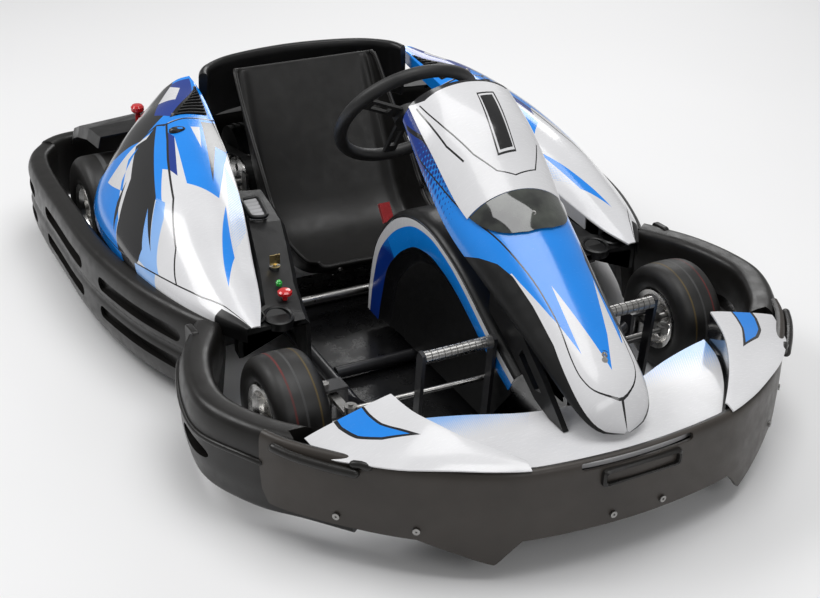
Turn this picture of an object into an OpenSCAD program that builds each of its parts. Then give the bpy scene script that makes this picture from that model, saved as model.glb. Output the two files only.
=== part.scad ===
// Electric rental go-kart: tube chassis, running gear, bumpers and bodywork.
// Millimetres. +Z up, the front of the kart faces -Y, the driver's right hand is -X.
// Origin: on the ground, in the middle of the overall length and width.
// The bodywork follows outlines drawn for a 1400 x 1950 kart. bx() and by() carry
// those outlines to the chosen width, length and wheelbase.

/* [Overall] */
// Overall length over the bumpers
length = 1950; // [1850:10:2350]
// Overall width over the side bumpers
width = 1400; // [1350:10:1680]
// Distance between the axles
wheelbase = 1070; // [1040:5:1100]
// Front bumper face to the front axle
front_overhang = 545; // [530:5:600]

/* [Wheels] */
// Front tyre outer diameter
front_tyre_d = 254; // [240:1:265]
// Front tyre width
front_tyre_w = 115; // [100:1:125]
// Rear tyre outer diameter
rear_tyre_d = 280; // [265:1:290]
// Rear tyre width
rear_tyre_w = 180; // [150:1:190]
// Rim diameter at the bead seats
rim_d = 127; // [125:1:130]
// Side bumper inner face to the front tyre
front_wheel_gap = 88; // [85:1:120]
// Side bumper inner face to the rear tyre
rear_wheel_gap = 44; // [40:1:60]

/* [Frame] */
// Frame tube diameter
tube_d = 30; // [25:1:32]
// Height of the frame tube centres
frame_z = 60; // [58:1:66]
// Half distance between the side rails
rail_x = 300; // [280:5:310]
// Floor pan thickness
floor_t = 3; // [2:0.5:4]

/* [Rear axle] */
// Rear axle diameter
axle_d = 40; // [30:1:50]
// Brake disc diameter
disc_d = 190; // [160:5:200]
// Axle pulley pitch radius
axle_pulley_r = 72; // [60:1:80]
// Motor pulley pitch radius
motor_pulley_r = 30; // [24:1:36]
// Distance from the axle to the motor shaft
belt_centres = 185; // [180:1:200]
// Radial running clearance in bearings and pivots
fit = 0.05; // [0.02:0.01:0.1]

/* [Steering] */
// Kingpin to the middle of the front tyre
kingpin_offset = 87; // [85:1:95]
// Kingpin bolt diameter
kingpin_d = 12; // [8:1:14]
// Front stub axle diameter
stub_d = 20; // [15:1:22]
// Steering wheel outer diameter
wheel_d = 350; // [300:5:360]
// Thickness of the steering wheel rim
wheel_grip = 30; // [24:1:32]
// Slope of the steering column above the horizontal
column_angle = 35; // [33:1:38]
// Steering column diameter
column_d = 20; // [16:1:24]

/* [Bumpers] */
// Top height of the bumper ring
bumper_top = 235; // [220:1:250]
// Bottom height of the bumper ring
bumper_bottom = 45; // [40:1:60]
// Width of the wheel guards seen from above
guard_w = 70; // [60:1:75]
// Width of the side bumpers seen from above
side_w = 56; // [50:1:60]
// Thickness of the front skirt
skirt_t = 8; // [5:1:10]

/* [Bodywork] */
// Wall of the moulded panels
panel_t = 4; // [3:0.5:6]
// Clear gap between neighbouring panels
panel_gap = 1.5; // [1:0.5:3]
// Half width of the nose panel at the number plate
nose_w = 130; // [110:1:140]

/* [Seat] */
// Half width of the seat shell
seat_w = 205; // [185:1:215]
// Wall of the seat shell
seat_t = 6; // [4:1:8]

/* [Pedals] */
// Distance from the centre plane to the inner end of a pedal roller
pedal_in = 112; // [108:1:125]
// Length of a pedal roller
roller_len = 165; // [140:1:170]
// Pedal roller diameter
roller_d = 26; // [20:1:28]
// Height of the pedal rollers
roller_z = 300; // [280:1:310]

/* [Hidden] */
$fn = 48;

// Outline frame: the kart that the bodywork points are written for
base_half = 700;
base_front = -975;
base_front_axle = -430;
base_rear_axle = 640;
base_rear = 975;

front_axle_y = -length / 2 + front_overhang;
rear_axle_y = front_axle_y + wheelbase;
front_z = front_tyre_d / 2;
rear_z = rear_tyre_d / 2;
front_x = width / 2 - guard_w - front_wheel_gap - front_tyre_w / 2;
rear_x = width / 2 - side_w - rear_wheel_gap - rear_tyre_w / 2;
kingpin_x = front_x - kingpin_offset;
frame_under = frame_z - tube_d / 2;

// Steering wheel centre and column direction
wheel_y = by(-4);
wheel_z = 543;
column_len = 665;
pitman_at = column_len - 20;
pitman_r = 50;
arm_len = 95;
arm_z = front_z + 24;

function bx(x) = x * width / 2 / base_half;
function by(y) = lookup(y, [[base_front, -length / 2], [base_front_axle, front_axle_y],
    [base_rear_axle, rear_axle_y], [base_rear, length / 2]]);

// Smooth curve through a few points, with n steps between neighbours
function bend(a, b, c, d, t) = 0.5 * (2 * b + (c - a) * t
    + (2 * a - 5 * b + 4 * c - d) * t * t + (3 * b - a - 3 * c + d) * t * t * t);
function curve(p, n = 4) = [for (i = [0:len(p) - 2]) for (k = [0:n - 1])
    bend(p[max(i - 1, 0)], p[i], p[i + 1], p[min(i + 2, len(p) - 1)], k / n),
    p[len(p) - 1]];
function turn2(v) = [v[1], -v[0]] / norm(v);
function tangent(p, i) = p[min(i + 1, len(p) - 1)] - p[max(i - 1, 0)];
function aside(p, d) = [for (i = [0:len(p) - 1])
    let (s = turn2([tangent(p, i)[0], tangent(p, i)[1]]) * d) [p[i][0] + s[0], p[i][1] + s[1]]];
function backwards(p) = [for (i = [len(p) - 1:-1:0]) p[i]];
function scaled(p) = [for (q = p) [bx(q[0]), by(q[1])]];
function mix(a, b, t) = a + (b - a) * t;

// Solid skin over a list of closed rings that all have the same number of points.
// Each end is closed across the ring, from its first half to its second half.
module skin(rings) {
    n = len(rings[0]);
    m = len(rings);
    h = floor(n / 2);
    last = (m - 1) * n;
    polyhedron(points = [for (r = rings) for (p = r) p], faces = concat(
        [for (i = [0:h - 2]) [i, i + 1, n - 2 - i]],
        [for (i = [0:h - 2]) [i, n - 2 - i, n - 1 - i]],
        n % 2 == 1 ? [[h - 1, h, h + 1], [last + h - 1, last + h + 1, last + h]] : [],
        [for (i = [0:h - 2]) [last + i, last + n - 2 - i, last + i + 1]],
        [for (i = [0:h - 2]) [last + i, last + n - 1 - i, last + n - 2 - i]],
        [for (k = [0:m - 2]) for (i = [0:n - 1]) [k * n + i, (k + 1) * n + i,
            (k + 1) * n + (i + 1) % n]],
        [for (k = [0:m - 2]) for (i = [0:n - 1]) [k * n + i, (k + 1) * n + (i + 1) % n,
            k * n + (i + 1) % n]]), convexity = 8);
}

// A ring standing across a path in plan: profile points are [outward, height]
function across(path, i, profile) = let (s = turn2(tangent(path, i)))
    [for (q = profile) [path[i][0] + s[0] * q[0], path[i][1] + s[1] * q[0], q[1]]];
module band(path, profile) {
    skin([for (i = [0:len(path) - 1]) across(path, i, profile)]);
}

// A thin ring at one station: the open line of [x, z] points and its copy below it
function sheet_ring(y, line, t) = concat([for (p = line) [p[0], y, p[1]]],
    [for (p = backwards(aside(line, t))) [p[0], y, p[1]]]);

module tube(points, d) {
    for (i = [0:len(points) - 2]) {
        a = points[i];
        b = points[i + 1];
        v = b - a;
        translate(a)
            rotate([0, acos(v[2] / norm(v)), atan2(v[1], v[0])])
                cylinder(h = norm(v), d = d);
        if (i > 0)
            translate(a)
                sphere(d = d + 4);
    }
}
module rod_x(x0, x1, y, z, d) {
    translate([x0, y, z])
        rotate([0, 90, 0])
            cylinder(h = x1 - x0, d = d);
}
module both() {
    children();
    mirror([1, 0, 0])
        children();
}
module right_side() {
    mirror([1, 0, 0])
        children();
}

// ---------------------------------------------------------------- frame
yoke_gap = 64;
module rail() {
    tube([[150, by(-800), frame_z], [150, by(-640), frame_z], [rail_x, by(-400), frame_z],
        [rail_x, by(360), frame_z], [rail_x - 30, by(560), frame_z],
        [rail_x - 30, by(880), frame_z]], tube_d);
    // Yoke that holds the kingpin
    tube([[rail_x - 24, front_axle_y + 6, frame_z], [kingpin_x - 37, front_axle_y, front_z]], tube_d - 4);
    difference() {
        translate([kingpin_x - 44, front_axle_y - 20, front_z - yoke_gap / 2 - 6])
            cube([62, 40, yoke_gap + 12]);
        translate([kingpin_x - 36, front_axle_y - 21, front_z - yoke_gap / 2])
            cube([60, 42, yoke_gap]);
        translate([kingpin_x, front_axle_y, 0])
            cylinder(h = 300, d = kingpin_d + 2 * fit);
    }
}
module side_rails() {
    color("dimgray")
        both()
            rail();
}
stand_at = column_at(420);
module cross_tubes() {
    w = rail_x - tube_d / 2 - 0.5;
    color("dimgray") {
        rod_x(-135 + 0.5, 135 - 0.5, by(-790), frame_z, tube_d);
        rod_x(-w, w, by(-240), frame_z, tube_d - 2);
        rod_x(-w, w, by(90), frame_z - 4, tube_d - 8);
        rod_x(-w + 30, w - 30, by(860), frame_z, tube_d);
        // Stand of the steering column
        for (s = [-1, 1])
            tube([[s * 70, by(-240) - 6, frame_z + 8], [s * 20, stand_at[1], stand_at[2] - 14]], 16);
        translate(stand_at)
            rotate([column_angle - 90, 0, 0])
                difference() {
                    translate([0, 0, -15])
                        cylinder(h = 30, d = 48);
                    translate([0, 0, -16])
                        cylinder(h = 32, d = column_d + 2 * fit);
                }
        // Lugs on which the pedals turn
        for (s = [-1, 1])
            for (x = [pedal_in - 12, pedal_in + roller_len + 4])
                translate([s * (x + 4) - 4, pedal_y - 12, floor_top])
                    difference() {
                        cube([8, 24, 44]);
                        translate([-1, 12, pedal_pivot_z - floor_top])
                            rotate([0, 90, 0])
                                cylinder(h = 10, d = 12 + 2 * fit);
                    }
    }
}
floor_top = frame_under - 2.5;
ballast_x = 160;
ballast_y = 60;
ballast_hole = 9;
module floor_pan() {
    outline = [[145, -800], [145, -650], [rail_x - 36, -475], [rail_x - 4, -300], [rail_x - 4, 240]];
    color("black")
        translate([0, 0, floor_top - floor_t])
            difference() {
                linear_extrude(floor_t)
                    polygon(concat([for (p = outline) [p[0], by(p[1])]],
                        backwards([for (p = outline) [-p[0], by(p[1])]])));
                // Holes for a ballast plate
                for (x = [-1, 1])
                    for (y = [-1, 1])
                        translate([x * ballast_x / 2, by(190) + y * ballast_y / 2, -1])
                            cylinder(h = floor_t + 2, d = ballast_hole);
            }
}

// ---------------------------------------------------------------- bumpers
skirt_line = [[0, -975], [200, -958], [310, -922], [420, -855], [517, -765], [590, -680], [622, -622]];
function mirrored(p) = concat(backwards([for (q = p) [-q[0], q[1]]]), [for (i = [1:len(p) - 1]) p[i]]);
skirt_path = scaled(curve(mirrored(skirt_line), 4));
skirt_low = 75;
foot_low = 35;
slot_w = 150;

module skirt_zone(inner, outer, z0, z1) {
    translate([0, 0, z0])
        linear_extrude(z1 - z0)
            polygon(concat(aside(skirt_path, outer), backwards(aside(skirt_path, inner))));
}
module front_skirt() {
    color("#35322e")
        difference() {
            skirt_zone(-skirt_t, 0, foot_low, bumper_top);
            // Lower edge with its two feet
            translate([0, by(-975) - 50, 0])
                rotate([-90, 0, 0])
                    linear_extrude(500)
                        polygon([[-700, 0], [-700, -skirt_low], [-bx(376), -skirt_low], [-bx(232), -foot_low],
                            [-bx(172), -skirt_low], [bx(172), -skirt_low], [bx(232), -foot_low],
                            [bx(376), -skirt_low], [700, -skirt_low], [700, 0]]);
            // Slot for the towing hook
            translate([-slot_w / 2, by(-975) - 5, 181])
                cube([slot_w, 40, 30]);
            skirt_screws()
                translate([0, 0, -20])
                    cylinder(h = 40, d = 6.6);
        }
}
// Moulding behind the skirt that carries the deck panels
carrier_top = 205;
module front_carrier() {
    line = [[0, -962], [200, -945], [310, -909], [410, -845], [490, -770]];
    outer = curve(mirrored(line), 3);
    inner = [[436, -722], [330, -715], [150, -765], [-150, -765], [-330, -715], [-436, -722]];
    color("#141414")
        difference() {
            translate([0, 0, skirt_low + 10])
                linear_extrude(carrier_top - skirt_low - 10)
                    polygon(scaled(concat(outer, inner)));
            // Pocket behind the towing slot
            translate([-slot_w / 2 - 2, by(-975), 179])
                cube([slot_w + 4, 60, 34]);
            // Room for the rails under the moulding
            for (s = [-1, 1])
                translate([s * 150 - 22, by(-830), 40])
                    cube([44, 200, 50]);
        }
}
module wheel_guard() {
    path = scaled(curve([[470, -742], [536, -664], [600, -592], [650, -490], [652, -400],
        [625, -300], [577, -215], [560, -192]], 3));
    h = guard_w / 2;
    low = bumper_bottom;
    top = bumper_top;
    profile = [[h - 12, low], [h - 4, low + 40], [h, low + 90], [h, top - 34], [h - 8, top - 12],
        [h - 24, top], [-h + 12, top - 4], [-h, top - 18], [-h, top - 60], [-h + 24, low]];
    color("#1c1b1a")
        difference() {
            band(path, profile);
            skirt_zone(-skirt_t - 0.5, 40, 0, 400);
            // Long hand slot through the guard
            translate([bx(600), by(-505), 112])
                cube([160, 110, 36]);
            // The deck panel rests here
            translate([0, by(-975), 200])
                cube([bx(565), by(-640) - by(-975), 100]);
        }
}
// The side bumper ends and the rear bumper begins on a slanted face at each rear corner
corner = [615, 908];
corner_step = [-8.5, 8.5];
module side_bumper() {
    path = scaled(concat(curve([[541, -186], [583, -100], [628, 30], [660, 190], [672, 330], [672, 500],
        [671, 700], [662, 810], [646, 864], corner - corner_step], 3), [corner]));
    h = side_w / 2;
    low = bumper_bottom - 14;
    top = bumper_top - 7;
    profile = [[h - 12, low], [h - 2, low + 26], [h, low + 66], [h - 7, low + 96],
        [h, low + 128], [h - 4, top - 22], [h - 18, top], [-h + 10, top], [-h, top - 14],
        [-h, top - 60], [-h + 16, low]];
    color("#1c1b1a")
        difference() {
            band(path, profile);
            // The wheel guard's tail lies over the front end
            translate([bx(450), by(-240), 0])
                cube([200, by(-172) - by(-240), 300]);
        }
}
module rear_bumper() {
    start = corner + corner_step * 0.2;
    half = [[0, 950], [300, 950], [500, 948], [570, 938], start + corner_step];
    path = scaled(concat([start], backwards(curve(mirrored(half), 2)), [[-start[0], start[1]]]));
    h = 25;
    low = bumper_bottom + 10;
    top = bumper_top;
    profile = [[h - 8, low], [h, low + 20], [h, top - 20], [h - 14, top], [-h + 10, top],
        [-h, top - 14], [-h + 14, low]];
    color("#1c1b1a")
        band(path, profile);
}

// ---------------------------------------------------------------- front deck
deck_z = 222;
deck_edge = [[374, -679], [352, -752], [300, -838], [226, -925]];
module deck_centre() {
    side = aside(curve(deck_edge, 3), panel_gap + 3);
    rear = curve([[-330, -704], [-240, -726], [-140, -762], [0, -776], [140, -762], [240, -726],
        [330, -704]], 3);
    front = curve([[216, -941], [120, -957], [-120, -957], [-216, -941]], 3);
    color("white")
        translate([0, 0, carrier_top + 1])
            linear_extrude(deck_z - carrier_top - 1)
                polygon(scaled(concat(front, [for (p = backwards(side)) [-p[0], p[1]]], rear, side)));
}
// Height of the raised side decks: high at the inner rear corner, low outside and at the front tip
deck_rise = [[-941, 236], [-851, 243], [-785, 260], [-735, 270], [-679, 283]];
deck_slope = [[-941, 0], [-851, 0.17], [-785, 0.24], [-735, 0.3], [-679, 0.28]];
function side_deck_z(x, y) = lookup(y, deck_rise) - (x - 374) * lookup(y, deck_slope);
module side_deck() {
    inner = curve(deck_edge, 4);
    outer = curve([[545, -678], [527, -737], [482, -785], [410, -851], [310, -911], [226, -941]], 3);
    n = len(inner);
    m = len(outer);
    function at(p, t) = let (f = t * (len(p) - 1), i = min(floor(f), len(p) - 2)) mix(p[i], p[i + 1], f - i);
    steps = 14;
    color("white")
        skin([for (k = [0:steps])
            let (t = k / steps, a = at(inner, t), b = at(outer, t))
            concat([for (s = [0:5]) let (q = mix(a, b, s / 5)) [bx(q[0]), by(q[1]), side_deck_z(q[0], q[1])]],
                [for (s = [5:-1:0]) let (q = mix(a, b, s / 5)) [bx(q[0]), by(q[1]), carrier_top + 1]])]);
}
module deck_inserts() {
    tip = [374, -808];
    color("dodgerblue")
        both()
            intersection() {
                translate([0, 0, 0.6])
                    insert_slab();
                linear_extrude(400)
                    polygon(scaled(concat(curve([[434, -690], [424, -745], tip], 5),
                        backwards(curve([[474, -690], [462, -752], [424, -796], tip], 5)))));
            }
}
module insert_slab() {
    skin([for (y = [-680, -708, -735, -760, -785, -820])
        [for (q = [[360, 0], [500, 0], [500, 4], [360, 4]])
            [bx(q[0]), by(y), side_deck_z(q[0], y) + q[1]]]]);
}

// ---------------------------------------------------------------- side fairings
// [y, inner x, inner z, outer x, outer z, bulge]
fairing_rows = [[-262, 468, 236, 500, 234, 2], [-190, 438, 252, 548, 238, 18], [-60, 404, 288, 596, 240, 46],
    [100, 364, 340, 628, 243, 72], [260, 334, 390, 636, 245, 84], [400, 316, 430, 628, 248, 82],
    [490, 306, 452, 596, 262, 74], [560, 302, 466, 520, 312, 48], [612, 302, 474, 420, 392, 22]];
function fairing_line(r) = curve([[bx(r[1]) - 4, r[2] - 60 * min(1, (r[2] - 225) / 90)], [bx(r[1]), r[2]],
    [bx(mix(r[1], r[3], 0.3)), mix(r[2], r[4], 0.3) + r[5] * 0.85],
    [bx(mix(r[1], r[3], 0.65)), mix(r[2], r[4], 0.65) + r[5]],
    [bx(mix(r[1], r[3], 0.93)), mix(r[2], r[4], 0.9) + r[5] * 0.3],
    [bx(r[3]), r[4] - 8]], 3);
function fairing_row(y) = [for (k = [0:5]) lookup(y, [for (r = fairing_rows) [r[0], r[k]]])];
module fairing() {
    ys = [for (p = curve([for (r = fairing_rows) [0, r[0]]], 2)) p[1]];
    color("white")
        skin([for (y = ys) sheet_ring(by(y), fairing_line(fairing_row(y)), panel_t)]);
}
module vent_grilles() {
    color("#101010")
        both()
            for (k = [0:5])
                translate([bx(302) - 22, by(475) + k * 13, 400 + k * 5])
                    cube([14, 6, 50 - k * 4]);
    // Slats of the cockpit vents
    color("silver")
        both() {
            for (k = [0:4])
                translate([bx(290) + k * 4, by(180) - k * 15, console_z(180 - k * 15) + 14])
                    rotate([-28, 0, 0])
                        cube([34, 10, 2.5]);
            for (x = [4, 26])
                tube([[bx(290) + x, by(188), console_z(188) + 11],
                    [bx(306) + x, by(120), console_z(120) + 11]], 5);
        }
}

// ---------------------------------------------------------------- consoles beside the seat
function console_z(y) = lookup(y, [[-240, 212], [-205, 216], [-175, 226], [-60, 250], [100, 284],
    [260, 300]]);
module console() {
    rows = [-236, -205, -175, -120, -60, 20, 100, 180, 250];
    function in_x(y) = lookup(y, [[-236, 340], [-120, 318], [0, 282], [120, 252], [250, 246]]);
    function out_x(y) = lookup(y, [[-236, 508], [-205, 506], [-175, 428], [-60, 394], [100, 354],
        [250, 326]]);
    color("#161616")
        difference() {
            skin([for (y = rows) let (a = bx(in_x(y)), b = bx(out_x(y)), z = console_z(y),
                low = lookup(y, [[-60, 80], [20, 112]]))
                [[a, by(y), low], [a + 3, by(y), z - 14], [a + 14, by(y), z],
                    [b - 6, by(y), z + 6], [b, by(y), z],
                [b, by(y), z - 60], [b - 10, by(y), z - 60], [b - 10, by(y), z - 10], [a + 14, by(y), z - 10],
                [a + 8, by(y), low]]]);
            children();
        }
}
stop_x = bx(372);
stop_y = by(-165);
stop_z = console_z(-165) + 4;
lamp_y = by(-118);
key_x = bx(352);
key_y = by(-62);
key_z = console_z(-62) + 5;
module console_right() {
    right_side()
        console() {
            translate([stop_x, stop_y, 180])
                cylinder(h = 100, d = 12 + 2 * fit);
            translate([key_x, key_y, 180])
                cylinder(h = 100, d = 20 + 2 * fit);
        }
}
module console_left() {
    console();
}
module switch_panel() {
    right_side() {
        color("silver")
            difference() {
                union() {
                    translate([key_x, key_y, key_z - 34])
                        cylinder(h = 38, d = 20);
                    translate([key_x, key_y, key_z + 1.5])
                        cylinder(h = 3, d = 25);
                }
                translate([key_x, key_y, key_z - 24])
                    cylinder(h = 40, d = 9 + 2 * fit);
            }
        color("limegreen")
            translate([bx(366), lamp_y, console_z(-118) + 5])
                cylinder(h = 7, d1 = 13, d2 = 9);
    }
}
module key() {
    right_side()
        color("goldenrod") {
            translate([key_x, key_y, key_z - 22])
                cylinder(h = 30, d = 9);
            translate([key_x - 12, key_y - 1.2, key_z + 7])
                cube([24, 2.4, 24]);
        }
}
module stop_button() {
    right_side()
        color("red") {
            translate([stop_x, stop_y, stop_z - 34])
                cylinder(h = 42, d = 12);
            translate([stop_x, stop_y, stop_z + 7])
                rotate_extrude()
                    polygon([[0, 0], [9, 0], [16, 4], [16, 10], [12, 13], [0, 14]]);
        }
}

// ---------------------------------------------------------------- rear bodywork
// [y, half width, z of the outer edge, z of the middle]
cover_rows = [[640, 545, 334, 344], [720, 552, 330, 342], [800, 556, 308, 326], [860, 556, 280, 300],
    [912, 548, 246, 262]];
module rear_cover() {
    color("#181818")
        difference() {
            skin([for (r = cover_rows)
                let (w = bx(r[1]), line = [[-w, r[2] - 30], [-w + 8, r[2]], [-bx(330), r[3]], [0, r[3] + 6],
                    [bx(330), r[3]], [w - 8, r[2]], [w, r[2] - 30]])
                sheet_ring(by(r[0]), line, panel_t)]);
            right_side()
                translate([knob_x, knob_y, 300])
                    cylinder(h = 100, d = 14 + 2 * fit);
        }
}
knob_x = bx(418);
knob_y = by(700);
knob_base = 341;
module cutoff_knob() {
    right_side() {
        color("silver")
            translate([knob_x, knob_y, knob_base - 24])
                cylinder(h = 46, d = 14);
        color("red")
            translate([knob_x, knob_y, knob_base + 22])
                rotate_extrude()
                    polygon([[0, 0], [13, 0], [17, 5], [17, 14], [13, 19], [0, 20]]);
    }
}
module rear_hoop() {
    line = curve([[284, 562], [258, 606], [170, 652], [0, 674], [-170, 652], [-258, 606], [-284, 562]], 4);
    path = scaled(line);
    color("#151515")
        band(backwards(path), [[-6, 352], [-14, 430], [-10, 492], [-2, 503], [8, 500], [12, 486],
            [8, 430], [6, 352]]);
}

// ---------------------------------------------------------------- nose, number plate, visor
// [y, crown z, half width, drop of the edges]
nose_rows = [[-236, 692, 128, 62], [-330, 640, 132, 84], [-440, 566, 130, 92], [-560, 498, 116, 84],
    [-700, 417, 98, 66], [-820, 345, 86, 50], [-880, 300, 70, 40], [-902, 266, 40, 18]];
function nose_row(y) = [for (k = [0:3]) lookup(-y, [for (r = nose_rows) [-r[0], r[k]]])];
function arch_line(w, z, drop, n, span = 90) = [for (i = [0:n]) let (a = span * (2 * i / n - 1))
    [w * sin(a), z - drop * (1 - cos(a))]];
module nose_panel() {
    ys = [for (p = curve([for (r = nose_rows) [0, r[0]]], 2)) p[1]];
    k = nose_w / 130;
    color("dodgerblue")
        difference() {
            skin([for (y = ys) let (r = nose_row(y))
                sheet_ring(by(y), arch_line(r[2] * k, r[1], r[3], 12), panel_t)]);
            // Room for the screw in the nose
            translate([0, by(-825), 300])
                cylinder(h = 80, d = 7);
        }
}
shield_lift = 6;
module number_shield() {
    ys = [-240, -290, -340, -390, -440, -480];
    k = nose_w / 130;
    color("white")
        skin([for (y = ys) let (r = nose_row(y), swell = 14 * sin(180 * (y + 230) / -250))
            sheet_ring(by(y), arch_line(r[2] * k, r[1] + shield_lift + swell, r[3], 10, y < -440 ? 60 : 67),
                panel_t - 1)]);
}
module visor() {
    ys = [-482, -510, -540, -566];
    k = nose_w / 130;
    color("#20242466")
        skin([for (i = [0:3]) let (y = ys[i], r = nose_row(y))
            sheet_ring(by(y), arch_line(r[2] * k, r[1] + shield_lift + [1, 0, -1, -1][i],
                r[3], 10, [57, 48, 37, 25][i]), panel_t - 1)]);
}
leg_outline = [[-560, 380], [-690, 345], [-770, 290], [-850, deck_z + 1], [-800, deck_z + 1],
    [-745, 236], [-640, 300], [-560, 340]];
leg_window = [[-690, 318], [-765, 262], [-742, 256], [-680, 300]];
module nose_legs() {
    leg_x = 84;
    color("#121212")
        both() {
            translate([40, by(-330), 425])
                cylinder(h = 200, d = 12);
            translate([leg_x, 0, 0])
                rotate([90, 0, 90])
                    linear_extrude(12)
                        difference() {
                            polygon([for (p = leg_outline) [by(p[0]), p[1]]]);
                            polygon([for (p = leg_window) [by(p[0]), p[1]]]);
                        }
        }
}

// ---------------------------------------------------------------- centre shroud over the column
shroud_line = [[-22, 76], [-30, 160], [-56, 262], [-100, 330], [-160, 385], [-235, 418], [-320, 424], [-400, 405],
    [-480, 372], [-600, 305], [-690, 262]];
shroud_x = 106;
module shroud_side(inset) {
    pts = [for (p = curve(shroud_line, 3)) [by(p[0]), p[1]]];
    offset(delta = -inset)
        polygon(concat(pts, [[by(-690), 236], [by(-560), 232], [by(-470), 206], [by(-462), 76]]));
}
module column_shroud() {
    color("#161616")
        difference() {
            translate([-shroud_x, 0, 0])
                rotate([90, 0, 90])
                    linear_extrude(2 * shroud_x)
                        shroud_side(0);
            // Hollow for the column
            translate([-shroud_x + 16, 0, 0])
                rotate([90, 0, 90])
                    linear_extrude(2 * shroud_x - 32)
                        shroud_hollow();
            on_column(0)
                translate([0, 0, -column_len])
                    cylinder(h = column_len, d = column_d + 16);
            // Shallow dish in each side
            for (s = [-1, 1])
                translate([s * (shroud_x - 3) - (s > 0 ? 0 : 9), 0, 0])
                    rotate([90, 0, 90])
                        linear_extrude(9)
                            shroud_side(44);
        }
}
module shroud_hollow() {
    // Open below, with a wall of about 6 mm all the way round
    polygon([for (p = [[-36, 0], [-38, 160], [-64, 258], [-108, 322], [-166, 375], [-238, 408], [-320, 414],
        [-398, 395], [-476, 362], [-596, 296], [-680, 258], [-680, 180], [-480, 180], [-456, 0]])
        [by(p[0]), p[1]]]);
}
module grab_strap() {
    color("red")
        translate([-shroud_x + 20, by(-74), 318])
            rotate([-40, 0, 0])
                difference() {
                    cube([26, 10, 46]);
                    translate([-1, 2, 2])
                        cube([28, 6, 42]);
                }
}

// ---------------------------------------------------------------- seat
// [y, z, tilt of the ring, half width, side height]
seat_rows = [[72, 148, 40, 176, 16], [110, 112, 20, 190, 40], [190, 82, 4, 200, 78], [280, 78, 0, 205, 110],
    [360, 98, -30, 205, 128], [420, 150, -55, 205, 132], [462, 220, -60, 205, 118], [502, 300, -63, 203, 88],
    [544, 384, -64, 200, 56], [582, 462, -66, 196, 30], [590, 480, -66, 190, 18]];
function seat_line(w, h) = curve([[-w - 4, h], [-w, h * 0.55], [-w + 14, h * 0.16], [-w * 0.66, 2], [0, 0],
    [w * 0.66, 2], [w - 14, h * 0.16], [w, h * 0.55], [w + 4, h]], 2);
function seat_ring(r) = let (k = seat_w / 205, line = seat_line(r[3] * k, r[4]), y = by(r[0]))
    [for (p = concat(line, backwards(aside(line, -seat_t)))) let (n = p[1])
        [p[0], y + n * sin(r[2]), r[1] + n * cos(r[2])]];
module seat() {
    color("#262422")
        skin([for (r = curve(seat_rows, 2)) seat_ring(r)]);
}
module seat_mounts() {
    color("silver") {
        // Cross bar under the front lip and the rear seat stays
        rod_x(-rail_x + 8, rail_x - 8, by(30), 96, 22);
        both() {
            translate([rail_x - 8, by(30) - 12, frame_z + tube_d / 2 + 0.1])
                cube([8, 24, 38]);
            translate([seat_w + 16, by(430), frame_z + 8])
                cube([6, 30, 190]);
        }
    }
}

// ---------------------------------------------------------------- steering
function column_at(t) = [0, wheel_y - t * cos(column_angle), wheel_z - t * sin(column_angle)];
module on_column(t) {
    translate(column_at(t))
        rotate([column_angle - 90, 0, 0])
            children();
}
module steering_wheel() {
    r = (wheel_d - wheel_grip) / 2;
    color("#151515")
        on_column(0) {
            rotate_extrude($fn = 72)
                translate([r, 0])
                    circle(d = wheel_grip, $fn = 32);
            for (a = [90, 210, 330])
                rotate([0, 0, a])
                    difference() {
                        translate([24, -15, -4])
                            cube([r - 24, 30, 8]);
                        translate([62, -7, -5])
                            cube([r - 100, 14, 10]);
                    }
            difference() {
                translate([0, 0, -14])
                    cylinder(h = 22, d = 66);
                translate([0, 0, -15])
                    cylinder(h = 19, d = column_d);
            }
        }
}
pitman_t = 8;
module steering_column() {
    color("silver") {
        on_column(0)
            translate([0, 0, -column_len])
                cylinder(h = column_len + 3.9, d = column_d);
        // Pitman arm at the foot of the column
        on_column(pitman_at)
            difference() {
                union() {
                    translate([0, 0, -pitman_t / 2])
                        cylinder(h = pitman_t, d = 44);
                    translate([-tie_in_x - 12, -pitman_r - 12, -pitman_t / 2])
                        cube([2 * tie_in_x + 24, pitman_r + 6, pitman_t]);
                }
                for (s = [-1, 1])
                    translate([s * tie_in_x, -pitman_r, -5])
                        cylinder(h = 10, d = 8);
                translate([0, 0, -5])
                    cylinder(h = 10, d = column_d);
            }
    }
}
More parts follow.
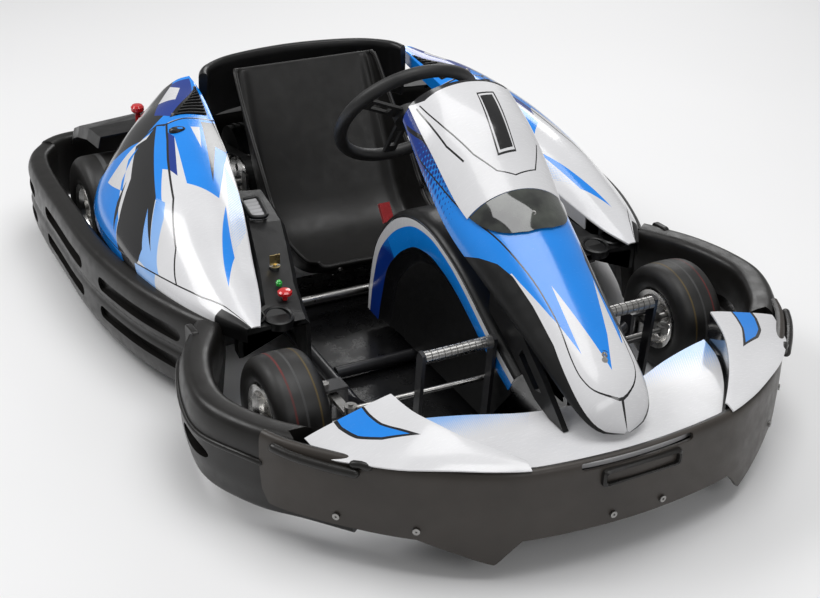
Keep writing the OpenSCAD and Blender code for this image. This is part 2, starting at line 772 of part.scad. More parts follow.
// Tie rod from the foot of the column to the steering arm, right at +X and mirrored
// The inner end stands clear in front of the pitman arm: this pivot of the linkage is open
tie_in_x = 22;
tie_gap = 28;
tie_in = column_at(pitman_at + tie_gap) + pitman_r * [0, -sin(column_angle), cos(column_angle)];
arm_x = kingpin_x - 14;
arm_y = front_axle_y - arm_len;
module tie_rod() {
    color("silver") {
        tube([[tie_in_x, tie_in[1], tie_in[2]], [arm_x - 10, arm_y - 2, arm_z + 12]], 12);
        translate([tie_in_x, tie_in[1], tie_in[2]])
            sphere(d = 20);
        difference() {
            translate([arm_x, arm_y, arm_z + 4])
                cylinder(h = 16, d = 26);
            translate([arm_x, arm_y, arm_z])
                cylinder(h = 30, d = 10 + 2 * fit);
        }
    }
}
module knuckle() {
    color("silver")
        difference() {
            union() {
                translate([kingpin_x, front_axle_y, front_z - yoke_gap / 2 + 1])
                    cylinder(h = yoke_gap - 2, d = 30);
                rod_x(kingpin_x + 10, front_x + front_tyre_w / 2 - 6, front_axle_y, front_z, stub_d);
                rod_x(kingpin_x + 12, front_x - front_tyre_w / 2 + 16, front_axle_y, front_z, stub_d + 10);
                // Steering arm
                translate([arm_x - 7, arm_y - 4, arm_z - 6])
                    cube([19, arm_len - 4, 9]);
                translate([arm_x, arm_y, arm_z - 6])
                    cylinder(h = 30, d = 10);
            }
            translate([kingpin_x, front_axle_y, 0])
                cylinder(h = 300, d = kingpin_d + 2 * fit);
        }
}
module kingpins() {
    color("silver")
        both()
            translate([kingpin_x, front_axle_y, front_z - yoke_gap / 2 - 12]) {
                cylinder(h = yoke_gap + 24, d = kingpin_d);
                translate([0, 0, yoke_gap + 18])
                    cylinder(h = 8, d = 20, $fn = 6);
                translate([0, 0, -1])
                    cylinder(h = 7 - 0.5, d = 20, $fn = 6);
            }
}

// ---------------------------------------------------------------- wheels
module turned(x, y, z) {
    translate([x, y, z])
        rotate([0, 90, 0])
            children();
}
module tyre(d, w) {
    b = rim_d / 2 + 0.5;
    r = d / 2;
    color("#1b1b1b")
        rotate_extrude($fn = 96)
            polygon([[b, -w / 2 + 14], [b + 8, -w / 2 + 9], [b + (r - b) * 0.45, -w / 2], [r - 16, -w / 2 + 3],
                [r - 5, -w / 2 + 12], [r - 1, -w / 2 + 24], [r, 0], [r - 1, w / 2 - 24], [r - 5, w / 2 - 12],
                [r - 16, w / 2 - 3], [b + (r - b) * 0.45, w / 2], [b + 8, w / 2 - 9], [b, w / 2 - 14]]);
}
module rim(w, bore, hub_w) {
    b = rim_d / 2;
    h = w / 2;
    color("silver")
        rotate_extrude($fn = 96)
            polygon([[bore / 2, -hub_w / 2], [bore / 2, hub_w / 2], [bore / 2 + 14, hub_w / 2],
                [bore / 2 + 14, 8], [b - 18, 8], [b - 12, h - 16], [b - 7, h - 4], [b + 6, h], [b + 7, h - 4],
                [b, h - 8], [b, -h + 8], [b + 7, -h + 4], [b + 6, -h], [b - 5, -h + 4], [b - 6, -4],
                [b - 18, -4], [bore / 2 + 14, -4], [bore / 2 + 14, -hub_w / 2]]);
}
module front_rim() {
    turned(front_x, front_axle_y, front_z)
        rim(front_tyre_w + 8 - 16, stub_d + 2 * fit, 60);
}
module front_tyre() {
    turned(front_x, front_axle_y, front_z)
        tyre(front_tyre_d, front_tyre_w);
}
module rear_rims() {
    both()
        turned(rear_x, rear_axle_y, rear_z)
            rim(rear_tyre_w - 8, axle_d, 90);
}
module rear_tyres() {
    both()
        turned(rear_x, rear_axle_y, rear_z)
            tyre(rear_tyre_d, rear_tyre_w);
}

// ---------------------------------------------------------------- rear axle and drive
bearing_x = rail_x - 30;
disc_x = 150;
pulley_x = -150;
pulley_w = 30;
motor_y = rear_axle_y + belt_centres;
motor_z = rear_z + 12;
axle_half = rear_x + 50;
module rear_axle() {
    color("silver")
        rod_x(-axle_half, axle_half, rear_axle_y, rear_z, axle_d);
}
module axle_bearings() {
    color("gray")
        both()
            difference() {
                union() {
                    rod_x(bearing_x - 14, bearing_x + 14, rear_axle_y, rear_z, axle_d + 50);
                    translate([bearing_x - 10, rear_axle_y - 30, frame_z + tube_d / 2 + 0.1])
                        cube([20, 60, rear_z - frame_z - tube_d / 2 - 10]);
                }
                rod_x(bearing_x - 20, bearing_x + 20, rear_axle_y, rear_z, axle_d + 2 * fit);
            }
}
module brake_disc() {
    color("silver")
        difference() {
            union() {
                rod_x(disc_x - 3, disc_x + 3, rear_axle_y, rear_z, disc_d);
                rod_x(disc_x - 14, disc_x + 14, rear_axle_y, rear_z, axle_d + 26);
            }
            rod_x(disc_x - 20, disc_x + 20, rear_axle_y, rear_z, axle_d);
            for (k = [0:11])
                translate([0, rear_axle_y, rear_z])
                    rotate([k * 30, 0, 0])
                        rod_x(disc_x - 8, disc_x + 8, disc_d / 2 - 22, 0, 9);
        }
}
module brake_caliper() {
    y0 = rear_axle_y + 44;
    color("#303030")
        difference() {
            translate([disc_x - 26, y0, rear_z - 36])
                cube([52, 64, 72]);
            translate([disc_x - 5, y0 - 1, rear_z - 40])
                cube([10, 54, 80]);
            rod_x(disc_x - 40, disc_x - 4, y0 + 20, rear_z, 30);
        }
    // Pistons behind the pads
    color("silver")
        rod_x(disc_x - 30, disc_x - 5, y0 + 20, rear_z, 29.8);
    color("#303030")
        translate([disc_x - 12, y0 + 64, frame_z + 8])
            cube([24, 8, rear_z - frame_z + 20]);
}
module axle_pulley() {
    color("silver")
        difference() {
            union() {
                rod_x(pulley_x - pulley_w / 2, pulley_x + pulley_w / 2, rear_axle_y, rear_z,
                    2 * axle_pulley_r - 6);
                for (s = [-1, 1])
                    translate([s * (pulley_w / 2 + 1.5), 0, 0])
                        rod_x(pulley_x - 1.5, pulley_x + 1.5, rear_axle_y, rear_z, 2 * axle_pulley_r + 4);
            }
            rod_x(pulley_x - 30, pulley_x + 30, rear_axle_y, rear_z, axle_d);
            for (k = [0:4])
                translate([0, rear_axle_y, rear_z])
                    rotate([k * 72, 0, 0])
                        rod_x(pulley_x - 30, pulley_x + 30, 44, 0, 22);
        }
}
motor_d = 150;
module motor() {
    x0 = pulley_x + pulley_w / 2 + 14;
    color("#404040")
        difference() {
            union() {
                rod_x(x0, x0 + 150, motor_y, motor_z, motor_d);
                for (k = [0:6])
                    rod_x(x0 + 16 + k * 18, x0 + 24 + k * 18, motor_y, motor_z, motor_d + 8);
                translate([x0 + 20, motor_y - 40, frame_z + 16])
                    cube([110, 80, 20]);
            }
            rod_x(x0 - 1, x0 + 60, motor_y, motor_z, 22 + 2 * fit);
        }
}
module motor_pulley() {
    x0 = pulley_x + pulley_w / 2 + 14;
    color("silver") {
        rod_x(pulley_x - pulley_w / 2, pulley_x + pulley_w / 2, motor_y, motor_z, 2 * motor_pulley_r - 6);
        for (s = [-1, 1])
            translate([s * (pulley_w / 2 + 1.5), 0, 0])
                rod_x(pulley_x - 1.5, pulley_x + 1.5, motor_y, motor_z, 2 * motor_pulley_r + 4);
        rod_x(pulley_x, x0 + 55, motor_y, motor_z, 22);
    }
}
module drive_belt() {
    a = atan2(motor_z - rear_z, belt_centres);
    c = norm([belt_centres, motor_z - rear_z]);
    gap = 0.4;
    module loop(grow) {
        s = acos((axle_pulley_r - motor_pulley_r) / c);
        p = axle_pulley_r - 3 + grow;
        q = motor_pulley_r - 3 + grow;
        polygon(concat([for (k = [0:24]) let (b = s + (360 - 2 * s) * k / 24) [p * cos(b), p * sin(b)]],
            [for (k = [0:12]) let (b = -s + 2 * s * k / 12) [c + q * cos(b), q * sin(b)]]));
    }
    color("#111111")
        translate([pulley_x - pulley_w / 2 + 2, rear_axle_y, rear_z])
            rotate([90, 0, 90])
                rotate([0, 0, a])
                    linear_extrude(pulley_w - 4)
                        difference() {
                            loop(gap + 5);
                            loop(gap);
                        }
}
battery_h = 150;
module batteries() {
    color("#2a2a2a")
        both() {
            translate([bx(345), by(-10), frame_under + 4])
                cube([bx(250) - 30, by(400) - by(-10), battery_h]);
            for (k = [0:1])
                translate([bx(345) + 58 + k * 80, by(20), frame_under + 4 + battery_h])
                    cylinder(h = 14, d = 22);
        }
}

// ---------------------------------------------------------------- pedals
pedal_y = by(-596);
pedal_pivot_z = 84;
module pedal_arms() {
    w = 8;
    for (x = [pedal_in - 2 + 0.5, pedal_in + roller_len - 6 - 0.5])
        translate([x, 0, 0])
            rotate([90, 0, 90])
                linear_extrude(w)
                    polygon([[pedal_y - 12, pedal_pivot_z + 4], [pedal_y - 2, pedal_pivot_z - 10],
                        [pedal_y + 12, pedal_pivot_z + 2], [pedal_y + 2, pedal_pivot_z + 120],
                        [roller_y + 14, roller_z - 4], [roller_y + 6, roller_z + 14],
                        [roller_y - 12, roller_z + 10], [pedal_y - 20, pedal_pivot_z + 120]]);
    // Shaft on which the pedal turns
    rod_x(pedal_in - 12, pedal_in + roller_len + 12, pedal_y, pedal_pivot_z, 12);
}
roller_y = pedal_y - 16;
module pedal_roller() {
    color("silver")
        difference() {
            rod_x(pedal_in + 7, pedal_in + roller_len - 7, roller_y, roller_z, roller_d);
            for (k = [0:9])
                translate([pedal_in + 20 + k * (roller_len - 40) / 9, 0, 0])
                    difference() {
                        rod_x(-1, 1, roller_y, roller_z, roller_d + 2);
                        rod_x(-2, 2, roller_y, roller_z, roller_d - 3);
                    }
        }
}
module throttle_pedal() {
    color("#181818")
        right_side()
            pedal_arms();
}
module throttle_roller() {
    right_side()
        pedal_roller();
}
module brake_pedal() {
    color("#181818")
        pedal_arms();
}
module brake_roller() {
    pedal_roller();
}

// ---------------------------------------------------------------- fasteners
// Screw positions on the skirt, each with +Z pointing out of the skirt
module skirt_screws() {
    both()
        for (q = [[56, -973, 3], [410, -861.5, 33], [522, -759, 47]])
            translate([bx(q[0]), by(q[1]), 107])
                rotate([90, 0, q[2]])
                    children();
}
module screw() {
    difference() {
        union() {
            cylinder(h = 3, d = 14);
            translate([0, 0, -12])
                cylinder(h = 13, d = 6);
        }
        translate([0, 0, 1])
            cylinder(h = 3, d = 5, $fn = 6);
    }
}
module fasteners() {
    color("#222222") {
        skirt_screws()
            translate([0, 0, 2.5])
                screw();
        // Screw in the tip of the nose
        translate([0, by(-825), 325])
            cylinder(h = 19, d = 6);
        translate([0, by(-825), 343])
            rotate([34, 0, 0])
                cylinder(h = 3, d = 12);
    }
}

side_rails();
cross_tubes();
floor_pan();
front_skirt();
front_carrier();
deck_centre();
right_side() side_deck();  // deck_right
side_deck();  // deck_left
deck_inserts();
right_side() wheel_guard();  // wheel_guard_right
wheel_guard();  // wheel_guard_left
right_side() side_bumper();  // side_bumper_right
side_bumper();  // side_bumper_left
rear_bumper();
rear_cover();
rear_hoop();
right_side() fairing();  // fairing_right
fairing();  // fairing_left
vent_grilles();
console_right();
console_left();
switch_panel();
key();
stop_button();
cutoff_knob();
seat();
seat_mounts();
nose_panel();
number_shield();
visor();
nose_legs();
column_shroud();
grab_strap();
steering_wheel();
steering_column();
right_side() tie_rod();  // tie_rod_right
tie_rod();  // tie_rod_left
kingpins();
right_side() knuckle();  // knuckle_right
knuckle();  // knuckle_left
right_side() front_rim();  // front_rim_right
front_rim();  // front_rim_left
right_side() front_tyre();  // front_tyre_right
front_tyre();  // front_tyre_left
rear_axle();
axle_bearings();
rear_rims();
rear_tyres();
brake_disc();
brake_caliper();
axle_pulley();
motor();
motor_pulley();
drive_belt();
batteries();
throttle_pedal();
throttle_roller();
brake_pedal();
brake_roller();
fasteners();
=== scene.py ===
"""Electric rental kart: detailed skins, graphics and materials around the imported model.

Lengths in the shape data are millimetres. The kart faces -Y, the driver's right hand is -X.
"""
import math

import bmesh
import bpy
from mathutils import Matrix, Vector


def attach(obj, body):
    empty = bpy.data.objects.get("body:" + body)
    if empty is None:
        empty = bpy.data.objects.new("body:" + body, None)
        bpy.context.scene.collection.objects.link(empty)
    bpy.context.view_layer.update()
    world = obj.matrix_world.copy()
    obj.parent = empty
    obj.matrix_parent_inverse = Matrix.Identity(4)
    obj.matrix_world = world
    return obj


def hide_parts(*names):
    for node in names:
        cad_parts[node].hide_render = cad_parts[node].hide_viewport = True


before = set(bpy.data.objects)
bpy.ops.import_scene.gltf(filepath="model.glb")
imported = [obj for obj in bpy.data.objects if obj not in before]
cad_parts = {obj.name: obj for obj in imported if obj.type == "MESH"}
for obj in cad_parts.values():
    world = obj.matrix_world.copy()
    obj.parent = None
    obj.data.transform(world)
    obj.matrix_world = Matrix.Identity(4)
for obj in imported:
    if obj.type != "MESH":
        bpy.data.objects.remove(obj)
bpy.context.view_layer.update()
MM = 0.001  # one millimetre in metres


# ---- camera, light, floor
def place_camera():
    """Looks down at the kart from the front, on the driver's right."""
    azimuth, elevation, roll = math.radians(-28.33), math.radians(28.75), math.radians(1.82)
    back = Vector((math.sin(azimuth) * math.cos(elevation),
                   -math.cos(azimuth) * math.cos(elevation), math.sin(elevation)))
    data = bpy.data.cameras.new("camera")
    data.sensor_width = 36
    data.lens = 60.58
    cam = bpy.data.objects.new("camera", data)
    bpy.context.scene.collection.objects.link(cam)
    turn = (-back).to_track_quat("-Z", "Y").to_matrix() @ Matrix.Rotation(roll, 3, "Z")
    cam.matrix_world = Matrix.Translation((-1.3794, -2.6067, 1.6812)) @ turn.to_4x4()
    bpy.context.scene.camera = cam


def soft_light(name, place, target, size, power):
    data = bpy.data.lights.new(name, "AREA")
    data.shape = "RECTANGLE"
    data.size, data.size_y = size
    data.energy = power
    lamp = bpy.data.objects.new(name, data)
    bpy.context.scene.collection.objects.link(lamp)
    lamp.location = place
    aim = Vector(target) - Vector(place)
    lamp.rotation_euler = aim.to_track_quat("-Z", "Y").to_euler()


def place_lights():
    soft_light("key_light", (-2.6, 1.6, 3.6), (0, 0, 0.2), (2.4, 2.0), 84)
    soft_light("top_light", (0.6, -0.6, 5.0), (0, 0, 0), (3.2, 3.2), 118)
    soft_light("front_light", (0.8, -4.6, 2.8), (0, 0, 0.3), (3.2, 1.4), 34)
    soft_light("back_light", (2.6, 3.2, 2.4), (0, 0, 0.4), (2.6, 1.2), 40)
    world = bpy.data.worlds.new("studio")
    bpy.context.scene.world = world
    world.use_nodes = True
    sky = world.node_tree.nodes["Background"].inputs
    sky["Color"].default_value = (1, 1, 1, 1)
    sky["Strength"].default_value = 0.3
    bpy.context.scene.view_settings.view_transform = "Standard"


# ---- materials
class Nodes:
    """Short names for building a material's node tree."""

    def __init__(self, name):
        self.material = bpy.data.materials.new(name)
        self.material.use_nodes = True
        self.tree = self.material.node_tree
        self.shader = self.tree.nodes["Principled BSDF"]
        coord = self.add("ShaderNodeTexCoord")
        self.place = coord.outputs["Object"]

    def add(self, kind, **values):
        node = self.tree.nodes.new(kind)
        for key, value in values.items():
            setattr(node, key, value)
        return node

    def link(self, a, b):
        self.tree.links.new(a, b)

    def noise(self, scale, detail=3.0, rough=0.5, stretch=None):
        node = self.add("ShaderNodeTexNoise")
        node.inputs["Scale"].default_value = scale
        node.inputs["Detail"].default_value = detail
        node.inputs["Roughness"].default_value = rough
        self.link(self.stretched(stretch) if stretch else self.place, node.inputs["Vector"])
        return node.outputs["Fac"]

    def stretched(self, scale, turn=(0, 0, 0)):
        node = self.add("ShaderNodeMapping")
        node.inputs["Scale"].default_value = scale
        node.inputs["Rotation"].default_value = turn
        self.link(self.place, node.inputs["Vector"])
        return node.outputs["Vector"]

    def ramp(self, source, *stops):
        node = self.add("ShaderNodeValToRGB")
        ramp = node.color_ramp
        while len(ramp.elements) < len(stops):
            ramp.elements.new(0.5)
        for element, (place, colour) in zip(ramp.elements, stops):
            element.position = place
            element.color = (*colour, 1) if len(colour) == 3 else colour
        self.link(source, node.inputs["Fac"])
        return node.outputs["Color"]

    def math(self, operation, a, b):
        node = self.add("ShaderNodeMath", operation=operation)
        for socket, value in zip(node.inputs, (a, b)):
            if isinstance(value, (int, float)):
                socket.default_value = value
            else:
                self.link(value, socket)
        return node.outputs[0]

    def blend(self, factor, a, b):
        node = self.add("ShaderNodeMix", data_type="RGBA")
        self.link(factor, node.inputs["Factor"])
        for socket, value in ((node.inputs["A"], a), (node.inputs["B"], b)):
            if isinstance(value, tuple):
                socket.default_value = (*value, 1)
            else:
                self.link(value, socket)
        return node.outputs["Result"]

    def bump(self, source, strength, distance):
        node = self.add("ShaderNodeBump")
        node.inputs["Strength"].default_value = strength
        node.inputs["Distance"].default_value = distance
        self.link(source, node.inputs["Height"])
        self.link(node.outputs["Normal"], self.shader.inputs["Normal"])

    def uniform(self, **values):
        for key, value in values.items():
            self.shader.inputs[key.replace("_", " ")].default_value = value


def shade(colour, k):
    return tuple(min(1.0, c * k) for c in colour)


def moulded(name, colour, rough=0.42, grain=900.0, depth=0.12, spread=0.12):
    """Moulded plastic: fine leather-like grain, slightly uneven sheen, paler rubbed patches."""
    n = Nodes(name)
    patches = n.noise(6.0, 5.0, 0.6)
    n.link(n.ramp(patches, (0.35, shade(colour, 1 - spread)), (0.7, shade(colour, 1 + 2 * spread))),
           n.shader.inputs["Base Color"])
    n.link(n.ramp(n.noise(35.0, 4.0), (0.3, (rough - 0.06,) * 3), (0.75, (rough + 0.1,) * 3)),
           n.shader.inputs["Roughness"])
    cells = n.add("ShaderNodeTexVoronoi")
    cells.inputs["Scale"].default_value = grain
    n.link(n.place, cells.inputs["Vector"])
    n.bump(cells.outputs["Distance"], depth, 0.0004)
    n.uniform(Specular_IOR_Level=0.38)
    return n.material


def gloss(name, colour, rough=0.16, coat=0.6, dust=0.04):
    """Gloss film over plastic: faint orange peel, a little dust and fine scratches."""
    n = Nodes(name)
    n.link(n.ramp(n.noise(9.0, 6.0), (0.3, shade(colour, 1 - dust)), (0.7, shade(colour, 1 + dust))),
           n.shader.inputs["Base Color"])
    scratches = n.noise(60.0, 2.0, stretch=(1.0, 14.0, 1.0))
    n.link(n.ramp(scratches, (0.45, (rough,) * 3), (0.72, (rough + 0.12,) * 3)), n.shader.inputs["Roughness"])
    n.bump(n.noise(260.0, 2.0), 0.05, 0.0005)
    n.uniform(Coat_Weight=coat, Coat_Roughness=0.08)
    return n.material


def halftone(name, paper, ink, start, end, axis, pitch, dot):
    """Gloss film printed with dots of ink that grow from start to end, in metres along an axis."""
    n = Nodes(name)
    split = n.add("ShaderNodeSeparateXYZ")
    n.link(n.place, split.inputs[0])
    span = n.add("ShaderNodeMapRange")
    span.inputs["From Min"].default_value = start
    span.inputs["From Max"].default_value = end
    n.link(split.outputs[axis], span.inputs["Value"])
    cells = n.add("ShaderNodeTexVoronoi")
    cells.inputs["Scale"].default_value = 1.0
    cells.inputs["Randomness"].default_value = 0.0
    n.link(n.stretched((pitch, pitch, 0.001), (0, 0, 0.785)), cells.inputs["Vector"])
    size = n.math("MULTIPLY", span.outputs["Result"], dot)
    inside = n.math("GREATER_THAN", size, cells.outputs["Distance"])
    n.link(n.blend(inside, paper, ink), n.shader.inputs["Base Color"])
    n.link(n.ramp(n.noise(40.0), (0.3, (0.14,) * 3), (0.7, (0.22,) * 3)), n.shader.inputs["Roughness"])
    n.bump(n.noise(260.0, 2.0), 0.05, 0.0005)
    n.uniform(Coat_Weight=0.6, Coat_Roughness=0.08)
    return n.material


def metal(name, colour, rough=0.28, stretch=(40.0, 900.0, 900.0), depth=0.1):
    """Machined metal with fine turning lines and a few dull patches."""
    n = Nodes(name)
    lines = n.noise(1.0, 3.0, stretch=stretch)
    n.link(n.ramp(lines, (0.3, shade(colour, 0.8)), (0.7, shade(colour, 1.12))), n.shader.inputs["Base Color"])
    n.link(n.ramp(n.noise(30.0), (0.3, (rough - 0.08,) * 3), (0.7, (rough + 0.12,) * 3)),
           n.shader.inputs["Roughness"])
    n.bump(lines, depth, 0.0002)
    n.uniform(Metallic=1.0)
    return n.material


def rubber(name, colour, rough=0.6, wear=0.35):
    """Tyre or grip rubber: dull, with scuffed paler grey patches and a fine pitted skin."""
    n = Nodes(name)
    scuff = n.noise(28.0, 8.0, 0.7, stretch=(1.0, 0.35, 0.35))
    n.link(n.ramp(scuff, (0.42, colour), (0.78, shade(colour, 1 + 4 * wear))), n.shader.inputs["Base Color"])
    n.link(n.ramp(scuff, (0.3, (rough - 0.12,) * 3), (0.8, (rough + 0.16,) * 3)), n.shader.inputs["Roughness"])
    n.bump(n.noise(520.0, 5.0, 0.65), 0.22, 0.0006)
    return n.material


def woven(name, colour):
    """Webbing: crossing threads, a soft sheen."""
    n = Nodes(name)
    wave = n.add("ShaderNodeTexWave", wave_type="BANDS", bands_direction="DIAGONAL")
    wave.inputs["Scale"].default_value = 420.0
    n.link(n.place, wave.inputs["Vector"])
    n.link(n.ramp(wave.outputs["Fac"], (0.2, shade(colour, 0.55)), (0.8, colour)),
           n.shader.inputs["Base Color"])
    n.bump(wave.outputs["Fac"], 0.5, 0.0006)
    n.uniform(Roughness=0.8, Sheen_Weight=0.3)
    return n.material


def smoked(name):
    """Dark smoked acrylic, very glossy, with a hint of green-grey inside."""
    n = Nodes(name)
    n.link(n.ramp(n.noise(14.0, 3.0), (0.35, (0.012, 0.013, 0.013)), (0.75, (0.09, 0.1, 0.085))),
           n.shader.inputs["Base Color"])
    n.link(n.ramp(n.noise(30.0), (0.3, (0.05,) * 3), (0.7, (0.1,) * 3)), n.shader.inputs["Roughness"])
    n.uniform(Coat_Weight=1.0, Coat_Roughness=0.03)
    return n.material


BLUE = (0.006, 0.25, 0.84)
DEEP = (0.005, 0.035, 0.26)
PALE = (0.28, 0.5, 0.9)
PAPER = (0.72, 0.72, 0.735)
M = {
    "black": moulded("moulded_black", (0.007, 0.007, 0.0072), 0.34),
    "guard": moulded("guard_black", (0.011, 0.0102, 0.0095), 0.34, 700.0, 0.1),
    "skirt": moulded("skirt_graphite", (0.042, 0.036, 0.031), 0.38, 1100.0, 0.16),
    "lip": moulded("skirt_lip", (0.014, 0.013, 0.012), 0.3),
    "seat": moulded("seat_shell", (0.009, 0.0085, 0.008), 0.38, 620.0, 0.2),
    "floor": moulded("floor_tray", (0.006, 0.006, 0.0065), 0.28, 500.0, 0.2),
    "frame": gloss("frame_paint", (0.016, 0.016, 0.018), 0.32, 0.2, 0.2),
    "cast": moulded("cast_metal", (0.05, 0.05, 0.05), 0.5, 300.0, 0.3),
    "ink": gloss("gloss_black", (0.008, 0.008, 0.009), 0.12, 0.8),
    "white": gloss("gloss_white", PAPER, 0.2, 0.5),
    "blue": gloss("gloss_blue", BLUE, 0.16, 0.6),
    "deep": gloss("gloss_deep_blue", DEEP, 0.16, 0.6),
    "pale": halftone("pale_halftone", PALE, PAPER, 0.34, -0.1, "Y", 260.0, 0.62),
    "sky": halftone("sky_halftone", BLUE, PALE, 0.30, 0.0, "Y", 260.0, 0.9),
    "fade": halftone("nose_halftone", BLUE, DEEP, -0.46, -0.27, "Y", 150.0, 0.78),
    "dark_fade": halftone("shroud_halftone", BLUE, DEEP, 0.36, 0.2, "Z", 240.0, 0.95),
    "deck_fade": halftone("deck_halftone", PAPER, PALE, -0.80, -0.69, "Y", 300.0, 0.72),
    "steel": metal("brushed_steel", (0.34, 0.335, 0.325), 0.3, (8.0, 260.0, 260.0), 0.05),
    "alloy": metal("machined_alloy", (0.78, 0.77, 0.75), 0.2, (900.0, 30.0, 30.0)),
    "brass": metal("key_brass", (0.75, 0.58, 0.26), 0.25),
    "tyre": rubber("tyre_rubber", (0.009, 0.0085, 0.008), 0.5, 0.28),
    "red_line": rubber("tyre_line_red", (0.07, 0.008, 0.007)),
    "grey_line": rubber("tyre_line_grey", (0.04, 0.04, 0.04)),
    "gold_line": rubber("tyre_line_gold", (0.06, 0.04, 0.01)),
    "grip": rubber("grip_rubber", (0.012, 0.012, 0.012), 0.5, 0.2),
    "red": gloss("button_red", (0.62, 0.012, 0.015), 0.12, 0.8),
    "green": gloss("lamp_green", (0.03, 0.5, 0.06), 0.1, 0.8),
    "silver": moulded("silver_plastic", (0.42, 0.42, 0.43), 0.3),
    "strap": woven("red_webbing", (0.55, 0.015, 0.02)),
    "smoke": smoked("smoked_bubble"),
}


# ---- smooth shapes
def mix(a, b, t):
    return a + (b - a) * t


def bend(a, b, c, d, t):
    """One step of a smooth curve from b to c, whose neighbours are a and d."""
    return tuple(0.5 * (2 * q + (r - p) * t + (2 * p - 5 * q + 4 * r - s) * t * t
                        + (3 * q - p - 3 * r + s) * t ** 3) for p, q, r, s in zip(a, b, c, d))


def along(points, t):
    """The point at t, from 0 to 1, of a smooth curve through the points."""
    last = len(points) - 1
    place = min(max(t, 0), 1) * last
    i = min(int(place), last - 1)
    return bend(points[max(i - 1, 0)], points[i], points[i + 1], points[min(i + 2, last)], place - i)


def smooth(points, count):
    return [along(points, k / (count - 1)) for k in range(count)]


def station(rows, x):
    """Smooth values at station x of rows that start with their station."""
    x = min(max(x, rows[0][0]), rows[-1][0])
    i = max(k for k in range(len(rows) - 1) if rows[k][0] <= x)
    a, b = rows[i], rows[i + 1]
    before, after = rows[max(i - 1, 0)], rows[min(i + 2, len(rows) - 1)]
    step = b[0] - a[0]
    t = (x - a[0]) / step
    out = []
    for k in range(1, len(a)):
        ma = (b[k] - before[k]) / (b[0] - before[0]) * step
        mb = (after[k] - a[k]) / (after[0] - a[0]) * step
        out.append((2 * t ** 3 - 3 * t * t + 1) * a[k] + (t ** 3 - 2 * t * t + t) * ma
                   + (3 * t * t - 2 * t ** 3) * b[k] + (t ** 3 - t * t) * mb)
    return out


# Side fairing: y, inner x, inner z, outer x, outer z, bulge
FAIRING = [(-262, 468, 236, 500, 234, 2), (-190, 438, 252, 548, 238, 18), (-60, 404, 288, 596, 240, 46),
           (100, 364, 340, 628, 243, 72), (260, 334, 390, 636, 245, 84), (400, 316, 430, 628, 248, 82),
           (490, 306, 452, 596, 262, 74), (560, 302, 466, 520, 312, 48), (612, 302, 474, 420, 392, 22)]


def fairing(y, t):
    """Left fairing at y: t runs from the inner edge (0) to the lower edge (1)."""
    xi, zi, xo, zo, bulge = station(FAIRING, y)
    line = [(xi, zi), (mix(xi, xo, 0.3), mix(zi, zo, 0.3) + 0.85 * bulge),
            (mix(xi, xo, 0.65), mix(zi, zo, 0.65) + bulge),
            (mix(xi, xo, 0.93), mix(zi, zo, 0.9) + 0.3 * bulge), (xo, zo - 8)]
    x, z = along(line, t)
    return x, y, z


# Nose: y, crown height, half width, drop of the edges
NOSE = [(-914, 238, 5, 3), (-902, 262, 44, 22), (-880, 300, 70, 40), (-820, 345, 86, 50), (-700, 417, 98, 66),
        (-560, 498, 116, 84), (-440, 566, 130, 92), (-330, 640, 132, 84), (-236, 692, 128, 62)]


def nose(y, angle, lift=0):
    """The nose at y: angle in degrees from -90 at one edge over the crown to 90."""
    z, half, drop = station(NOSE, y)
    a = math.radians(angle)
    return half * math.sin(a), y, z - drop * (1 - math.cos(a)) + lift


def solid(bm, name):
    """An object from a bmesh in millimetres."""
    bmesh.ops.scale(bm, vec=(MM, MM, MM), verts=bm.verts)
    data = bpy.data.meshes.new(name)
    bm.to_mesh(data)
    bm.free()
    made = bpy.data.objects.new(name, data)
    bpy.context.scene.collection.objects.link(made)
    return made


def finish_piece(bm, name, materials, body="chassis", slot="moulded_black", stands_for=(), rounded_edge=0.0,
                 wall=0.0, angle=40):
    """Turns a bmesh in millimetres into a piece that rides on a body."""
    piece = solid(bm, name)
    data = piece.data
    for key in materials:
        data.materials.append(M[key])
    data.polygons.foreach_set("use_smooth", [True] * len(data.polygons))
    if wall:
        shell = piece.modifiers.new("wall", "SOLIDIFY")
        shell.thickness = wall * MM
        shell.offset = -1
    if rounded_edge:
        edge = piece.modifiers.new("edge", "BEVEL")
        edge.width = rounded_edge * MM
        edge.segments = 3
        edge.limit_method = "ANGLE"
        edge.angle_limit = math.radians(angle)
        edge.harden_normals = True
    else:
        piece.modifiers.new("crease", "EDGE_SPLIT").split_angle = math.radians(angle)
    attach(piece, body)
    if stands_for:
        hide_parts(*stands_for)
    return piece


def mirrored(points):
    """Points drawn for x >= 0, with their mirror images before them."""
    return [(-p[0], *p[1:]) for p in reversed(points)] + [p for p in points if p[0] > 0]


def inside(p, polygon):
    """Whether a point lies in a closed outline."""
    hit = False
    for (ax, ay), (bx, by) in zip(polygon, polygon[1:] + polygon[:1]):
        if (ay > p[1]) != (by > p[1]) and p[0] < ax + (p[1] - ay) / (by - ay) * (bx - ax):
            hit = not hit
    return hit


def stroke(line, width, v_scale=1.0):
    """The outline of a line of the given width; v_scale is the length of one unit of v."""
    left, right = [], []
    for i, p in enumerate(line):
        a, b = line[max(i - 1, 0)], line[min(i + 1, len(line) - 1)]
        du, dv = b[0] - a[0], (b[1] - a[1]) * v_scale
        size = math.hypot(du, dv) or 1.0
        nu, nv = -dv / size * width / 2, du / size * width / 2 / v_scale
        left.append((p[0] + nu, p[1] + nv))
        right.append((p[0] - nu, p[1] - nv))
    return left + right[::-1]


DRAWING = 1000.0  # the areas are cut out of a square this wide


